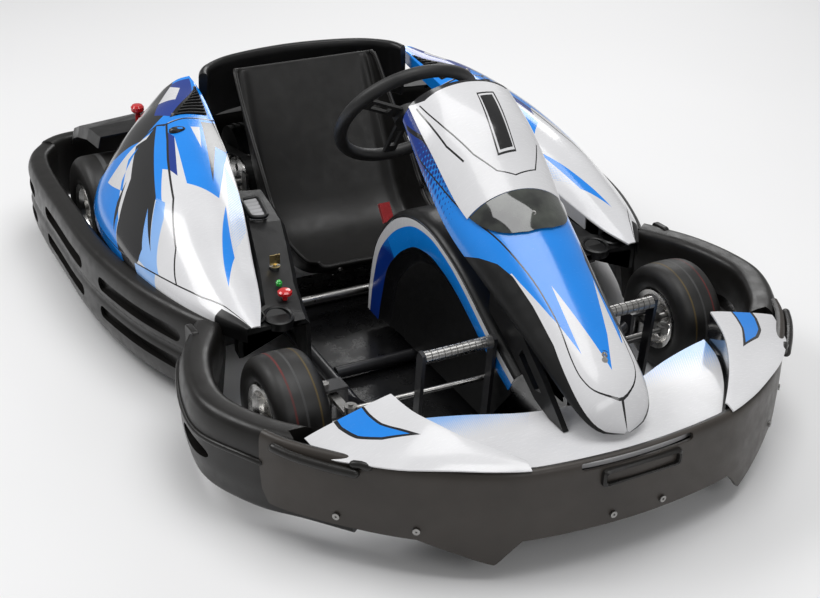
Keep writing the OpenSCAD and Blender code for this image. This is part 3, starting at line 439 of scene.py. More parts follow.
def panel(name, surface, u_range, v_range, steps, areas, materials, flip=False, **options):
    """A sheet over u and v. Each area is (material or None, outline): None leaves an opening."""
    bm = bmesh.new()
    nu, nv = steps
    grid = [[bm.verts.new((mix(*u_range, i / nu), mix(*v_range, j / nv), 0)) for j in range(nv + 1)]
            for i in range(nu + 1)]
    for i in range(nu):
        for j in range(nv):
            bm.faces.new((grid[i][j], grid[i + 1][j], grid[i + 1][j + 1], grid[i][j + 1]))
    ku, kv = DRAWING / (u_range[1] - u_range[0]), DRAWING / (v_range[1] - v_range[0])
    for v in bm.verts:
        v.co = v.co.x * ku, v.co.y * kv, 0
    flat = [(key, [(u * ku, v * kv) for u, v in outline]) for key, outline in areas]
    for _, outline in flat:
        for a, b in zip(outline, outline[1:] + outline[:1]):
            low = (min(a[0], b[0]), min(a[1], b[1]))
            high = (max(a[0], b[0]), max(a[1], b[1]))
            near = []
            for f in bm.faces:
                us = [v.co.x for v in f.verts]
                vs = [v.co.y for v in f.verts]
                if max(us) > low[0] and min(us) < high[0] and max(vs) > low[1] and min(vs) < high[1]:
                    near.append(f)
            if not near or (a[0] == b[0] and a[1] == b[1]):
                continue
            parts = set(near)
            for f in near:
                parts.update(f.edges)
                parts.update(f.verts)
            bmesh.ops.bisect_plane(bm, geom=list(parts), dist=0.02, plane_co=(a[0], a[1], 0),
                                   plane_no=(b[1] - a[1], a[0] - b[0], 0))
    gone = []
    for f in bm.faces:
        centre = f.calc_center_median()
        for key, outline in flat:
            if inside((centre.x, centre.y), outline):
                if key is None:
                    gone.append(f)
                    break
                f.material_index = materials.index(key)
    bmesh.ops.delete(bm, geom=gone, context="FACES")
    for v in bm.verts:
        v.co = surface(v.co.x / ku, v.co.y / kv)
    if flip:
        bmesh.ops.reverse_faces(bm, faces=bm.faces)
    return finish_piece(bm, name, materials, **options)


def rounded(outline, radius, count=4):
    """A closed outline with its corners rounded."""
    out = []
    n = len(outline)
    for i, p in enumerate(outline):
        p = Vector(p)
        before, after = Vector(outline[i - 1]), Vector(outline[(i + 1) % n])
        r = min(radius, (before - p).length * 0.48, (after - p).length * 0.48)
        a = p + (before - p).normalized() * r
        b = p + (after - p).normalized() * r
        for k in range(count + 1):
            t = k / count
            out.append(tuple((1 - t) ** 2 * a + 2 * t * (1 - t) * p + t * t * b))
    return out


def ring_skin(rings, caps=True):
    """A skin over closed rings of points; caps closes the first and last ring."""
    bm = bmesh.new()
    rows = [[bm.verts.new(p) for p in ring] for ring in rings]
    count = len(rows[0])
    for a, b in zip(rows, rows[1:]):
        for k in range(count):
            bm.faces.new((a[k], a[(k + 1) % count], b[(k + 1) % count], b[k]))
    if caps:
        bm.faces.new(rows[0][::-1])
        bm.faces.new(rows[-1])
    bmesh.ops.recalc_face_normals(bm, faces=bm.faces)
    return bm


def across(path, profile):
    """Rings standing across a plan path: each profile point is (outward, height)."""
    rings = []
    for i, p in enumerate(path):
        a, b = path[max(i - 1, 0)], path[min(i + 1, len(path) - 1)]
        run = Vector((b[0] - a[0], b[1] - a[1])).normalized()
        rings.append([(p[0] + run.y * q[0], p[1] - run.x * q[0], q[1]) for q in profile])
    return rings


def both_sides(make):
    """Makes a piece on the left and on the right; its maker gets the side's name and the sign of x."""
    for side, sign in (("left", 1), ("right", -1)):
        make(side, sign)


def flipped(rings, sign):
    return [[(sign * p[0], p[1], p[2]) for p in ring] for ring in rings]


def cut(piece, cutters):
    """Takes the cutters' solids out of a piece, for good."""
    for cutter in cutters:
        tool = piece.modifiers.new("cut", "BOOLEAN")
        tool.object = cutter
        tool.operation = "DIFFERENCE"
        tool.solver = "EXACT"
    while any(m.type == "BOOLEAN" for m in piece.modifiers):
        first = next(m for m in piece.modifiers if m.type == "BOOLEAN")
        with bpy.context.temp_override(object=piece, active_object=piece):
            bpy.ops.object.modifier_move_to_index(modifier=first.name, index=0)
            bpy.ops.object.modifier_apply(modifier=first.name)
    for cutter in cutters:
        bpy.data.objects.remove(cutter)


def pill(name, centre, run, length, height, depth):
    """A stadium-shaped cutter lying along run in plan, pushed in sideways to the given depth."""
    run = Vector((run[0], run[1], 0)).normalized()
    side = Vector((run.y, -run.x, 0))
    r = height / 2
    turn = [math.pi * (k / 8 - 0.5) for k in range(9)]
    outline = [(length / 2 - r + r * math.cos(a), r * math.sin(a)) for a in turn]
    outline += [(-x, -z) for x, z in outline]
    rings = []
    for d, shrink in ((-depth, 0.8), (-depth * 0.7, 0.94), (depth, 1.05)):
        rings.append([tuple(Vector(centre) + run * x * (1 - (1 - shrink) * height / length) + side * d
                            + Vector((0, 0, z * shrink))) for x, z in outline])
    return solid(ring_skin(rings), name)


# ---- bumpers
SKIRT = mirrored([(0, -975), (200, -958), (310, -922), (420, -855), (517, -765), (590, -680), (622, -622)])
SKIRT_LENGTH = 1620
# Lower edge with its two feet
SKIRT_LOW = [(-810, 75), (-392, 75), (-236, 35), (-172, 75), (172, 75), (236, 35), (392, 75), (810, 75)]
# Section above it: outward offset, height
SKIRT_RISE = [(0, 35), (0, 62), (0, 90), (0.2, 118), (0.4, 146), (-0.2, 172), (-1.2, 198), (-2, 220),
              (-7, 233), (-16, 236), (-24, 232)]


def skirt_surface(u, v):
    """Front skirt: u runs along it from the driver's right end, v from its lower edge up over the rolled lip."""
    t = u / SKIRT_LENGTH + 0.5
    x, y = along(SKIRT, t)
    a, b = along(SKIRT, t - 0.004), along(SKIRT, t + 0.004)
    run = Vector((b[0] - a[0], b[1] - a[1])).normalized()
    out, z = along(SKIRT_RISE, min(max((v - 35) / 215, 0), 1)) if v > 35 else (0, v)
    return x + run.y * out, y - run.x * out, z


def make_skirt():
    mouth = rounded([(-84, 183), (76, 183), (76, 207), (-84, 207)], 8)
    end = 800
    areas = [("lip", [(-830, 226), (830, 226), (830, 262), (-830, 262)]),
             (None, [(-830, 0)] + [(-830, 75)] + SKIRT_LOW + [(830, 75), (830, 0)]),
             (None, mouth)]
    for s in (-1, 1):
        areas.append((None, [(s * end, 0), (s * 740, 74), (s * 778, 96), (s * 796, 140), (s * 798, 190),
                             (s * 790, 262), (s * 840, 262), (s * 840, 0)]))
    panel("front_skirt_moulding", skirt_surface, (-SKIRT_LENGTH / 2, SKIRT_LENGTH / 2), (30, 250), (120, 28),
          areas,
          ["skirt", "lip"], wall=7, rounded_edge=2.0, slot="skirt_brown", stands_for=["front_skirt"])
    rim = ring_skin([[(x * k, -981 + d, 195 + z * k2) for x, z in
                      rounded([(-84, -14), (84, -14), (84, 14), (-84, 14)], 9)]
                     for d, k, k2 in ((12, 0.95, 0.8), (2, 0.97, 0.84), (0, 1.0, 1.0), (4, 1.06, 1.3),
                                      (14, 1.07, 1.35))],
                    caps=False)
    finish_piece(rim, "tow_slot_rim", ["lip"], slot="skirt_brown")
    pocket = ring_skin([[(x, -962 + d, 195 + z) for x, z in rounded([(-80, -13), (80, -13), (80, 13),
                                                                     (-80, 13)], 9)]
                       for d in (0, 24)])
    finish_piece(pocket, "tow_slot_pocket", ["black"])
    # Raised rib and nub at each end of the skirt
    for side, s in (("left", 1), ("right", -1)):
        line = smooth([(s * 500, -789, 214), (s * 545, -744, 216), (s * 583, -699, 219), (s * 606, -662, 222)],
                      14)
        tube_piece(f"skirt_rib_{side}", line, 9, "lip")
        tube_piece(f"skirt_nub_{side}", [(s * 500, -781, 229), (s * 488, -790, 230), (s * 478, -800, 229)], 8,
                   "lip")


def tube_piece(name, line, radius, key, sides=12, tips=True):
    """A round bar along a line, with domed ends."""
    line = [Vector(p) for p in line]
    rings = []
    for i, p in enumerate(line):
        run = (line[min(i + 1, len(line) - 1)] - line[max(i - 1, 0)]).normalized()
        helper = Vector((0, 0, 1)) if abs(run.z) < 0.9 else Vector((0, 1, 0))
        a = run.cross(helper).normalized()
        b = run.cross(a)
        ends = [(0, 1)]
        if tips and i == 0:
            ends = [(-0.9, 0.35), (-0.6, 0.75), (0, 1)]
        if tips and i == len(line) - 1:
            ends = [(0, 1), (0.6, 0.75), (0.9, 0.35)]
        for shift, size in ends:
            centre = p + run * radius * shift
            rings.append([tuple(centre + (a * math.cos(w) + b * math.sin(w)) * radius * size)
                          for w in [2 * math.pi * k / sides for k in range(sides)]])
    finish_piece(ring_skin(rings), name, [key], angle=60)


# Middle lines of the bumper mouldings in plan, and half their widths
GUARD_LINE = [(470, -742), (536, -664), (600, -592), (650, -490), (652, -400), (625, -300), (577, -215),
              (560, -190)]
SIDE_LINE = [(541, -190), (583, -100), (628, 30), (660, 190), (672, 330), (672, 500), (671, 700),
             (662, 810), (646, 864), (615, 908)]
REAR_LINE = [(613, 910), (570, 938), (500, 948), (300, 950), (0, 950)]
GUARD_HALF = 35
SIDE_HALF = 28
REAR_HALF = 25


def make_guard(side, s):
    half = GUARD_HALF
    outline = rounded([(half - 14, 46), (half, 110), (half, 205), (half - 12, 235), (-half + 6, 233),
                       (-half, 200), (-half + 2, 150), (-half + 22, 48)], 16, 5)
    path = smooth(GUARD_LINE, 64)
    rings = flipped(across(path, outline), s)
    guard = finish_piece(ring_skin(rings), f"wheel_guard_{side}_moulding", ["guard"],
                         stands_for=[f"wheel_guard_{side}"], rounded_edge=5, angle=62)
    hole = solid(ring_skin([[(s * x, y, 130 + z) for y, z in
                             [(-450 + 62 * math.cos(a), 17 * math.sin(a)) for a in
                              [2 * math.pi * k / 24 for k in range(24)]]] for x in (560, 720)]), "slot")
    front = solid(ring_skin([[(s * x, y, z) for x, y in ((300, -980), (566, -980), (566, -640), (300, -640))]
                             for z in (196, 300)]), "front")
    cut(guard, [hole, front])
    # Raised rib that ends in a bead above the slot
    rib = [along(path_of(GUARD_LINE, 36), t) for t in [0.26 + 0.5 * k / 17 for k in range(18)]]
    line = [(s * p[0], p[1], 196 - 22 * math.sin(math.pi * min(1, k / 17)) ** 2 - 26 * (1 - k / 17) ** 2)
            for k, p in enumerate(rib)]
    tube_piece(f"guard_rib_{side}", line, 6, "guard")
    # Upright plate that closes the guard's tail over the side bumper's front end
    plate = ring_skin([[(s * (552 + x), -208 + y, z) for y,
                        z in rounded([(-34, 96), (20, 96), (24, 236), (-30, 240)], 12)]
                       for x, y in ((42, 0), (52, 2), (56, 4))])
    finish_piece(plate, f"guard_tail_{side}", ["guard"], rounded_edge=3)


def path_of(line, offset):
    """A plan line moved outwards."""
    out = []
    for i, p in enumerate(line):
        a, b = line[max(i - 1, 0)], line[min(i + 1, len(line) - 1)]
        run = Vector((b[0] - a[0], b[1] - a[1])).normalized()
        out.append((p[0] + run.y * offset, p[1] - run.x * offset))
    return out


def make_side_bumper(side, s):
    half = SIDE_HALF
    outline = rounded([(half - 14, 31), (half, 70), (half, 118), (half - 7, 132), (half, 146), (half, 205),
                       (half - 12, 230), (-half + 4, 230), (-half, 205), (-half, 140), (-half + 16, 33)], 14, 4)
    path = smooth(SIDE_LINE, 96)
    bumper = finish_piece(ring_skin(flipped(across(path, outline), s)), f"side_bumper_{side}_moulding",
                          ["guard"], stands_for=[f"side_bumper_{side}"], rounded_edge=5, angle=62)
    pockets = []
    outer = path_of(smooth(SIDE_LINE, 60), half)
    for start, stop in ((0.10, 0.34), (0.42, 0.62), (0.68, 0.84)):
        a, b = along(outer, start), along(outer, stop)
        middle = along(outer, (start + stop) / 2)
        length = math.dist(a, b)
        centre = ((a[0] + b[0]) / 4 + middle[0] / 2, (a[1] + b[1]) / 4 + middle[1] / 2)
        for z, h in ((172, 34), (98, 30)):
            pockets.append(pill("pocket", (s * centre[0], centre[1], z), (s * (b[0] - a[0]), b[1] - a[1]),
                                length, h, 15))
    cut(bumper, pockets)


def make_rear_bumper():
    half = REAR_HALF
    outline = rounded([(half - 10, 56), (half, 80), (half, 215), (half - 12, 235), (-half + 8, 235),
                       (-half, 215),
                       (-half, 75), (-half + 14, 56)], 12, 4)
    line = mirrored(REAR_LINE[::-1])
    path = smooth(line, 90)[::-1]
    bumper = finish_piece(ring_skin(across(path, outline)), "rear_bumper_moulding", ["guard"],
                          stands_for=["rear_bumper"], rounded_edge=5, angle=62)
    pockets = [pill("pocket", (x, 975, z), (-1, 0), 250, 44,
                    14) for x in (-420, -140, 140, 420) for z in (116, 184)]
    cut(bumper, pockets)


# ---- front deck
DECK_EDGE = [(374, -679), (352, -752), (300, -838), (226, -925)]
DECK_OUTER = [(550, -678), (532, -739), (490, -793), (414, -856), (312, -916), (226, -946)]
DECK_TOP = 222  # height of the lower centre panel
DECK_BED = 206  # height of the moulding under the side panels
# y, height at the inner edge, fall per millimetre outwards
DECK_RISE = [(-941, 236, 0), (-851, 243, 0.17), (-785, 260, 0.24), (-735, 270, 0.3), (-679, 283, 0.28)]


def deck_height(x, y):
    height, slope = station(DECK_RISE, y)
    return height - (x - 374) * slope


def make_side_deck(side, s):
    def surface(u, v):
        a, b = along(DECK_EDGE, v), along(DECK_OUTER, v)
        x, y = mix(a[0], b[0], u), mix(a[1], b[1], u)
        return s * x, y, deck_height(x, y) + 2.5 - 2.5 * (2 * u - 1) ** 4

    crescent = [(0.34, -0.02), (0.36, 0.10), (0.36, 0.22), (0.33, 0.33), (0.32, 0.42)]
    other = [(0.62, -0.02), (0.64, 0.08), (0.60, 0.2), (0.50, 0.32)]
    top = crescent + other[::-1]
    frame_line = [(0.31, -0.05), (0.33, 0.10), (0.33, 0.22), (0.29, 0.34), (0.27, 0.47), (0.54, 0.34),
                  (0.64, 0.21),
                  (0.68, 0.08), (0.66, -0.05)]
    panel(f"deck_{side}_skin", surface, (0, 1), (0, 1), (26, 26), [("ink", frame_line), ("blue", top)],
          ["white", "ink", "blue"], flip=s < 0, wall=4, rounded_edge=1.6, slot="panel_white",
          stands_for=[f"deck_{side}"])
    # Black wall below the raised inner edge, and below the outer edge
    edge = [along(DECK_EDGE, k / 30) for k in range(31)]
    rings = [[(s * (x + 1), y + 1, deck_height(x, y) - 1), (s * (x + 1), y + 1, DECK_BED),
              (s * (x + 9), y, DECK_BED),
              (s * (x + 9), y, deck_height(x, y) - 5)] for x, y in edge]
    finish_piece(ring_skin(rings), f"deck_{side}_step", ["ink"])
    rear = [(mix(374, 545, k / 8), mix(-679, -678, k / 8)) for k in range(9)]
    rings = [[(s * x, y - 1, deck_height(x, y) - 3), (s * x, y - 1, 200), (s * x, y - 8, 200),
              (s * x, y - 8, deck_height(x, y) - 5)] for x, y in rear]
    finish_piece(ring_skin(rings), f"deck_{side}_back", ["black"])
    bed = [along(DECK_OUTER, k / 30) for k in range(31)]
    rings = [[(s * (x - 8), y + 6, deck_height(x, y) - 3), (s * (x - 8), y + 6, DECK_BED),
              (s * (x - 18), y + 14, DECK_BED),
              (s * (x - 18), y + 14, deck_height(x, y) - 4)] for x, y in bed]
    finish_piece(ring_skin(rings), f"deck_{side}_bed", ["lip"])


def make_centre_deck():
    side = path_of(DECK_EDGE, 6)

    def surface(u, v):
        edge = along(side, v)
        back = along([(-330, -704), (-240, -726), (-140, -762), (0, -776), (140, -762), (240, -726),
                      (330, -704)],
                     (u + 1) / 2)
        front_y = -941 - 16 * (1 - u * u)
        y = mix(back[1], front_y, v)
        y = mix(y, edge[1], abs(u) ** 3 * 0.9)
        return u * edge[0], y, DECK_TOP - 1.5 * v

    areas = [("deck_fade", [(-1.1, -0.1), (-0.28, -0.1), (-0.42, 0.30), (-1.1, 0.55)]),
             ("deck_fade", [(1.1, -0.1), (0.28, -0.1), (0.42, 0.30), (1.1, 0.55)])]
    panel("deck_centre_skin", surface, (-1, 1), (0, 1), (60, 26), areas, ["white", "deck_fade"], flip=True,
          wall=10,
          rounded_edge=1.2, slot="panel_white", stands_for=["deck_centre"])


# ---- side fairings
def make_fairing(side, s):
    def surface(u, v):
        x, y, z = fairing(u, min(max(v, 0), 1))
        if v > 1:
            z -= (v - 1) * 150
            x -= (v - 1) * 6
        if v < 0:
            z += v * 130
            x -= v * 8
        return s * x, y, z

    seam = [(-262, 0.5), (-194, 0.56), (-136, 0.67), (-62, 0.74), (46, 0.83), (120, 0.9), (176, 0.95),
            (274, 1.0),
            (392, 1.02), (620, 1.04)]
    ridge = [(408, 0.31), (340, 0.34), (270, 0.38), (138, 0.44), (12, 0.57), (-62, 0.74)]
    top = 404
    grille = rounded([(566, 0.03), (418, 0.05), (424, 0.29)], 14)
    areas = [
        ("blue", [(620, -0.3), (top, -0.3), (top, 1.3), (620, 1.3)]),
        ("ink", [(620, 0.3), (450, 0.3), (404, 0.45), (456, 0.62), (488, 0.84), (500, 1.3), (620, 1.3)]),
        ("deep", [(600, 0.05), (520, 0.1), (430, 0.28), (470, 0.36), (600, 0.3)]),
        ("white", [(560, 0.18), (500, 0.22), (520, 0.34), (590, 0.3)]),
        ("white", [(top, -0.02)] + ridge + [(-194, 0.56), (-262, 0.5), (-262, -0.3), (60, -0.3), (250, 0.0)]),
        ("blue", [(top, -0.02), (278, 0.0), (228, 0.07), (102, 0.18), (164, 0.34), (342, 0.3), (200, 0.37),
                  (232, 0.395),
                  (270, 0.375), (top, 0.31)]),
        ("deep", [(396, 0.325), (372, 0.325), (342, 0.3), (200, 0.37), (232, 0.395), (300, 0.36)]),
        ("white", [(366, 0.19), (366, 0.14), (278, 0.18)]),
        ("ink", [(390, 0.12), (372, 0.12), (154, 0.185), (292, 0.09), (276, 0.01), (300, -0.02), (390, -0.02)]),
        ("pale", [(228, 0.07), (128, 0.0), (20, 0.02), (-68, 0.2), (178, 0.09)]),
        ("blue", [(82, 0.15), (-74, 0.2), (-150, 0.38)]),
        ("white", [(248, 0.42), (232, 0.395), (138, 0.44), (12, 0.57), (-62, 0.74), (-6, 0.8), (104, 0.54)]),
        ("blue", [(422, 0.36), (404, 0.31), (232, 0.395), (248, 0.425), (170, 0.49), (104, 0.54), (142, 0.5),
                  (176, 0.53)]),
        ("sky", [(172, 0.58), (66, 0.70), (174, 0.52), (142, 0.49), (104, 0.54), (-6, 0.80), (46, 0.83),
                 (88, 0.82),
                 (98, 0.73)]),
        ("ink", [(422, 0.36), (394, 0.43), (400, 0.49), (310, 0.58), (250, 0.73), (192, 0.95), (90, 0.87),
                 (88, 0.82),
                 (98, 0.73), (172, 0.58), (66, 0.70), (178, 0.52)]),
        ("blue", [(488, 0.84), (470, 0.72), (364, 0.67), (308, 0.64), (380, 0.55), (388, 0.48), (340, 0.62),
                  (250, 0.74),
                  (192, 0.95), (290, 1.0), (430, 1.02), (490, 1.0)]),
        ("ink", [(320, 0.60), (270, 0.72), (240, 0.84), (300, 0.69)]),
        ("blue", [(620, 1.02), (274, 1.0), (176, 0.95), (160, 0.94), (114, 1.3), (620, 1.3)]),
        ("ink", [(176, 0.945), (100, 0.885), (44, 1.3), (120, 1.3)]),
        ("sky", [(100, 0.885), (46, 0.83), (12, 0.805), (-26, 1.3), (46, 1.3)]),
        ("white", [(12, 0.805), (-62, 0.74), (-136, 0.67), (-196, 0.6), (-196, 1.3), (-26, 1.3)]),
        ("black", [(-190, 0.62), (-200, 1.3), (-300, 1.3), (-300, 0.45)]),
        ("black", grille),
        (None, [(-270, -0.3), (-140, -0.3), (-140, -0.03), (-270, -0.03)]),
        ("ink", stroke(seam, 5, 330)),
        ("ink", stroke(ridge, 4, 330)),
        ("ink", stroke([(404, 0.33), (404, 0.2), (400, 0.0)], 5, 330)),
        ("ink", stroke([(404, 0.32), (420, 0.36), (406, 0.46), (456, 0.62)], 6, 330)),
        ("ink", stroke([(398, 0.03), (276, 0.012), (150, 0.005), (60, -0.01)], 3.5, 330)),
    ]
    panel(f"fairing_{side}_skin", surface, (-262, 612), (-0.28, 1.16), (110, 64), areas,
          ["white", "ink", "blue", "deep", "pale", "sky", "black"], flip=s > 0, wall=3.5, rounded_edge=0,
          slot="panel_white", stands_for=[f"fairing_{side}"])
    # Slanted slats and screws of the shoulder grille
    for k in range(9):
        start, stop = (546 - 15 * k, 0.045 + 0.002 * k), (530 - 13 * k, 0.075 + 0.021 * k)
        line = [surface(mix(start[0], stop[0], q / 6), mix(start[1], stop[1], q / 6)) for q in range(7)]
        tube_piece(f"grille_slat_{side}_{k}", [(p[0], p[1], p[2] + 2) for p in line], 2.6, "black", sides=8)
    for k, (u, v) in enumerate(((550, 0.05), (428, 0.07), (432, 0.26))):
        px, py, pz = surface(u, v)
        stud = ring_skin([[(px + r * math.cos(a), py + r * math.sin(a), pz + h) for a in
                           [2 * math.pi * q / 16 for q in range(16)]] for r,
                          h in ((4, -2), (4, 2), (3, 3.4), (1, 3))])
        finish_piece(stud, f"grille_screw_{side}_{k}", ["steel"], slot="steel")
    # Oval cap near the shoulder
    x, y, z = fairing(364, 0.27)
    dome = ring_skin([[(s * (x + r * 18 * math.cos(a)), y + r * 12 * math.sin(a), z + h)
                       for a in [2 * math.pi * k / 28 for k in range(28)]]
                      for r, h in ((1.15, -3), (1.1, 2), (0.95, 4), (0.75, 1.5), (0.3, 1))])
    finish_piece(dome, f"fairing_cap_{side}", ["black"])


# ---- nose
LINE_2 = [(-304, -86), (-384, -68), (-476, -53), (-552, -40), (-638, -32), (-696, -31), (-746, -33),
          (-804, -41),
          (-838, -42), (-866, -32), (-886, -1), (-872, 28), (-840, 46), (-804, 48), (-746, 50), (-638, 58),
          (-552, 64),
          (-476, 68), (-384, 74), (-304, 86)]
NOSE_EDGE = [(-500, 92), (-540, 72), (-580, 56), (-618, 49), (-684, 48), (-762, 52), (-838, 66), (-880, 74),
             (-920, 80), (-920, 92)]


def make_nose():
    areas = [
        ("fade", [(-470, -92), (-470, 92), (-230, 92), (-230, -92)]),
        ("white", [(-605, -92), (-920, -92), (-920, 92), (-605, 92)]),
        ("blue", [(-600, -92), (-600, 92), (-640, 92), (-676, 73), (-796, 41), (-792, 40), (-660, 46),
                  (-780, 21),
                  (-844, 3), (-670, -16), (-802, -25), (-740, -32), (-716, -36), (-676, -41), (-636, -46),
                  (-612, -48)]),
        ("black", [(u, -v) for u, v in NOSE_EDGE]),
        ("black", NOSE_EDGE),
        ("ink", stroke([(-254, -84), (-300, -64), (-332, -57), (-380, -47), (-450, -34), (-504, -22),
                        (-546, -10),
                        (-556, 10), (-530, 44), (-452, 70), (-300, 76)], 9, 1.9)),
        ("ink", stroke(smooth(LINE_2, 70), 3.4, 1.9)),
        ("ink", stroke([(-884, 2), (-914, 1)], 5, 1.0)),
    ]
    panel("nose_skin", nose, (-914, -236), (-90, 90), (112, 72), areas,
          ["blue", "white", "ink", "fade", "black"],
          wall=3.5, slot="panel_blue", stands_for=["nose_panel"])
    x, y, z = nose(-818, 3)
    for name, key, size, lift in (("nose_screw_washer", "black", 12, 1.0),
                                  ("nose_screw_head", "steel", 6, 3.5)):
        disc = ring_skin([[(x + r * size * math.cos(a), y + r * size * math.sin(a) * 0.85,
                            z + h + lift + r * size * math.sin(a) * 0.62)
                           for a in [2 * math.pi * k / 24 for k in range(24)]]
                          for r, h in ((1, -4), (1, 1), (0.85, 2.4), (0.4, 2.2), (0.3, 0.6))])
        finish_piece(disc, name, [key], slot="steel")


def make_shield():
    def surface(u, v):
        swell = 14 * math.sin(math.pi * min(max((-230 - u) / 250, 0), 1))
        reach = station([(-486, 58), (-440, 62), (-300, 68), (-238, 68)], u)[0]
        return nose(u, v * reach, 6 + swell)

    plate = [(-278, 0.10), (-273, 0.40), (-409, 0.27), (-414, -0.05)]
    centre = (sum(p[0] for p in plate) / 4, sum(p[1] for p in plate) / 4)

    def shrunk(k):
        return [(mix(centre[0], p[0], 1 - (1 - k) * 0.45), mix(centre[1], p[1], k)) for p in plate]

    areas = [
        ("ink", [(-230, -1.1), (-246, -0.85), (-254, -0.66), (-248, -0.4), (-244, 0.06), (-243, 0.42),
                 (-246, 0.8),
                 (-230, 1.1)]),
        ("ink", plate), ("white", shrunk(0.86)), ("ink", shrunk(0.70)),
        ("ink", stroke([(-256, -0.78), (-334, -0.58), (-398, -0.38), (-438, -0.16), (-452, 0.1), (-440, 0.5),
                        (-380, 0.8)], 2.6, 110)),
        ("ink", stroke([(-256, -0.86), (-300, -0.78), (-360, -0.7), (-400, -0.56)], 3.4, 110)),
    ]
    panel("number_shield_skin", surface, (-478, -238), (-1, 1), (60, 60), areas, ["white", "ink"], wall=3,
          slot="panel_white", stands_for=["number_shield"])

    def bubble(u, v):
        reach = station([(-566, 14), (-556, 30), (-540, 42), (-510, 54), (-482, 60)], u)[0]
        lift = 7 + 5 * math.sin(math.pi * (u + 566) / 86) * (1 - v * v)
        return nose(u, v * reach + 4, lift)

    panel("nose_bubble", bubble, (-566, -481), (-1, 1), (30, 40), [], ["smoke"], wall=3, slot="smoke",
          stands_for=["visor"])
    x, y, z = nose(-538, 4)
    disc = ring_skin([[(x + r * 6 * math.cos(a), y + r * 6 * math.sin(a) * 0.85,
                        z + 13 + h + r * 3.4 * math.sin(a))
                       for a in [2 * math.pi * k / 24 for k in range(24)]]
                      for r, h in ((1, -3), (1, 1), (0.8, 2), (0.35, 1.8), (0.3, 0.6))])
    finish_piece(disc, "bubble_screw", ["steel"], slot="steel")


# ---- centre shroud
ARCH = [(-22, 84), (-30, 160), (-56, 262), (-100, 330), (-160, 385), (-235, 418), (-320, 424), (-400, 405),
        (-480, 372), (-600, 305), (-690, 262)]


def make_shroud():
    """An arch over the column: black top, then on each side a white border, a blue band and a sunken black web."""
    top = smooth(ARCH, 70)
    count = len(top)

    def at(i, depth):
        a, b = top[max(i - 1, 0)], top[min(i + 1, count - 1)]
        run = Vector((b[0] - a[0], b[1] - a[1])).normalized()
        return top[i][0] - run.y * depth, top[i][1] + run.x * depth

    # depth below the arch, half width, material of the strip that ends there
    profile = [(0, 0, None), (0, 78, "black"), (1, 92, "black"), (5, 102, "black"), (11, 106, "black"),
               (15, 106.5, "ink"),
               (38, 107, "white"), (41, 107, "blue"), (88, 108, "blue"), (91, 107, "ink"), (99, 101, "ink"),
               (128, 96, "ink")]
    for side, s in (("left", 1), ("right", -1)):
        bm = bmesh.new()
        rows = []
        keys = ["black", "ink", "white", "blue", "dark_fade"]
        for i in range(count):
            k = i / (count - 1)
            taper = station([(0, 0.92), (0.12, 1.0), (0.5, 0.92), (0.75, 0.62), (1, 0.42)], k)[0]
            border = station([(0, 0.5), (0.15, 0.75), (0.4, 1.0), (0.55, 0.6), (0.7, 0.55), (1, 1.3)], k)[0]
            row = []
            for depth, half, _ in profile:
                d = depth if depth <= 15 else 15 + (min(depth, 38) - 15) * border * min(taper * 1.2, 1)
                if depth > 38:
                    d += (depth - 38) * taper
                y, z = at(i, d)
                row.append(bm.verts.new((s * half, y, max(z, 80))))
            rows.append(row)
        for i in range(count - 1):
            for j in range(len(profile) - 1):
                corners = (rows[i][j], rows[i + 1][j], rows[i + 1][j + 1], rows[i][j + 1])
                face = bm.faces.new(corners if s > 0 else corners[::-1])
                key = profile[j + 1][2]
                if key == "blue" and i < count * 0.3:
                    key = "dark_fade"
                face.material_index = keys.index(key)
        # Sunken web inside the arch
        web = [rows[i][-1] for i in range(count)]
        low = [bm.verts.new((s * 92, mix(v.co.y, -330, 0.25), max(80, v.co.z * 0.45))) for v in web]
        for i in range(count - 1):
            corners = (web[i], web[i + 1], low[i + 1], low[i])
            face = bm.faces.new(corners if s > 0 else corners[::-1])
            face.material_index = 0
        foot = [bm.verts.new((s * 94, v.co.y, 80)) for v in low]
        for i in range(count - 1):
            if low[i].co.z > 80.5 or low[i + 1].co.z > 80.5:
                corners = (low[i], low[i + 1], foot[i + 1], foot[i])
                bm.faces.new(corners if s > 0 else corners[::-1])
        bmesh.ops.remove_doubles(bm, verts=bm.verts, dist=0.05)
        finish_piece(bm, f"shroud_{side}", keys, wall=3,
                     stands_for=["column_shroud"] if s > 0 else (), angle=50)


# ---- consoles
CONSOLE_TOP = [(-240, 212), (-205, 216), (-175, 226), (-60, 250), (100, 284), (260, 300)]


def console_height(y):
    return station(CONSOLE_TOP, y)[0]


def disc_piece(name, centre, shape, key, slot, tilt=0.0):
    """A turned piece standing at a point: shape is a list of (radius, height), leaning forwards by tilt degrees."""
    lean = math.radians(tilt)
    rings = []
    for r, h in shape:
        rings.append([(centre[0] + r * math.cos(a),
                       centre[1] + r * math.sin(a) * math.cos(lean) - h * math.sin(lean),
                       centre[2] + h * math.cos(lean) + r * math.sin(a) * math.sin(lean))
                      for a in [2 * math.pi * q / 32 for q in range(32)]])
    finish_piece(ring_skin(rings), name, [key], slot=slot, angle=35)


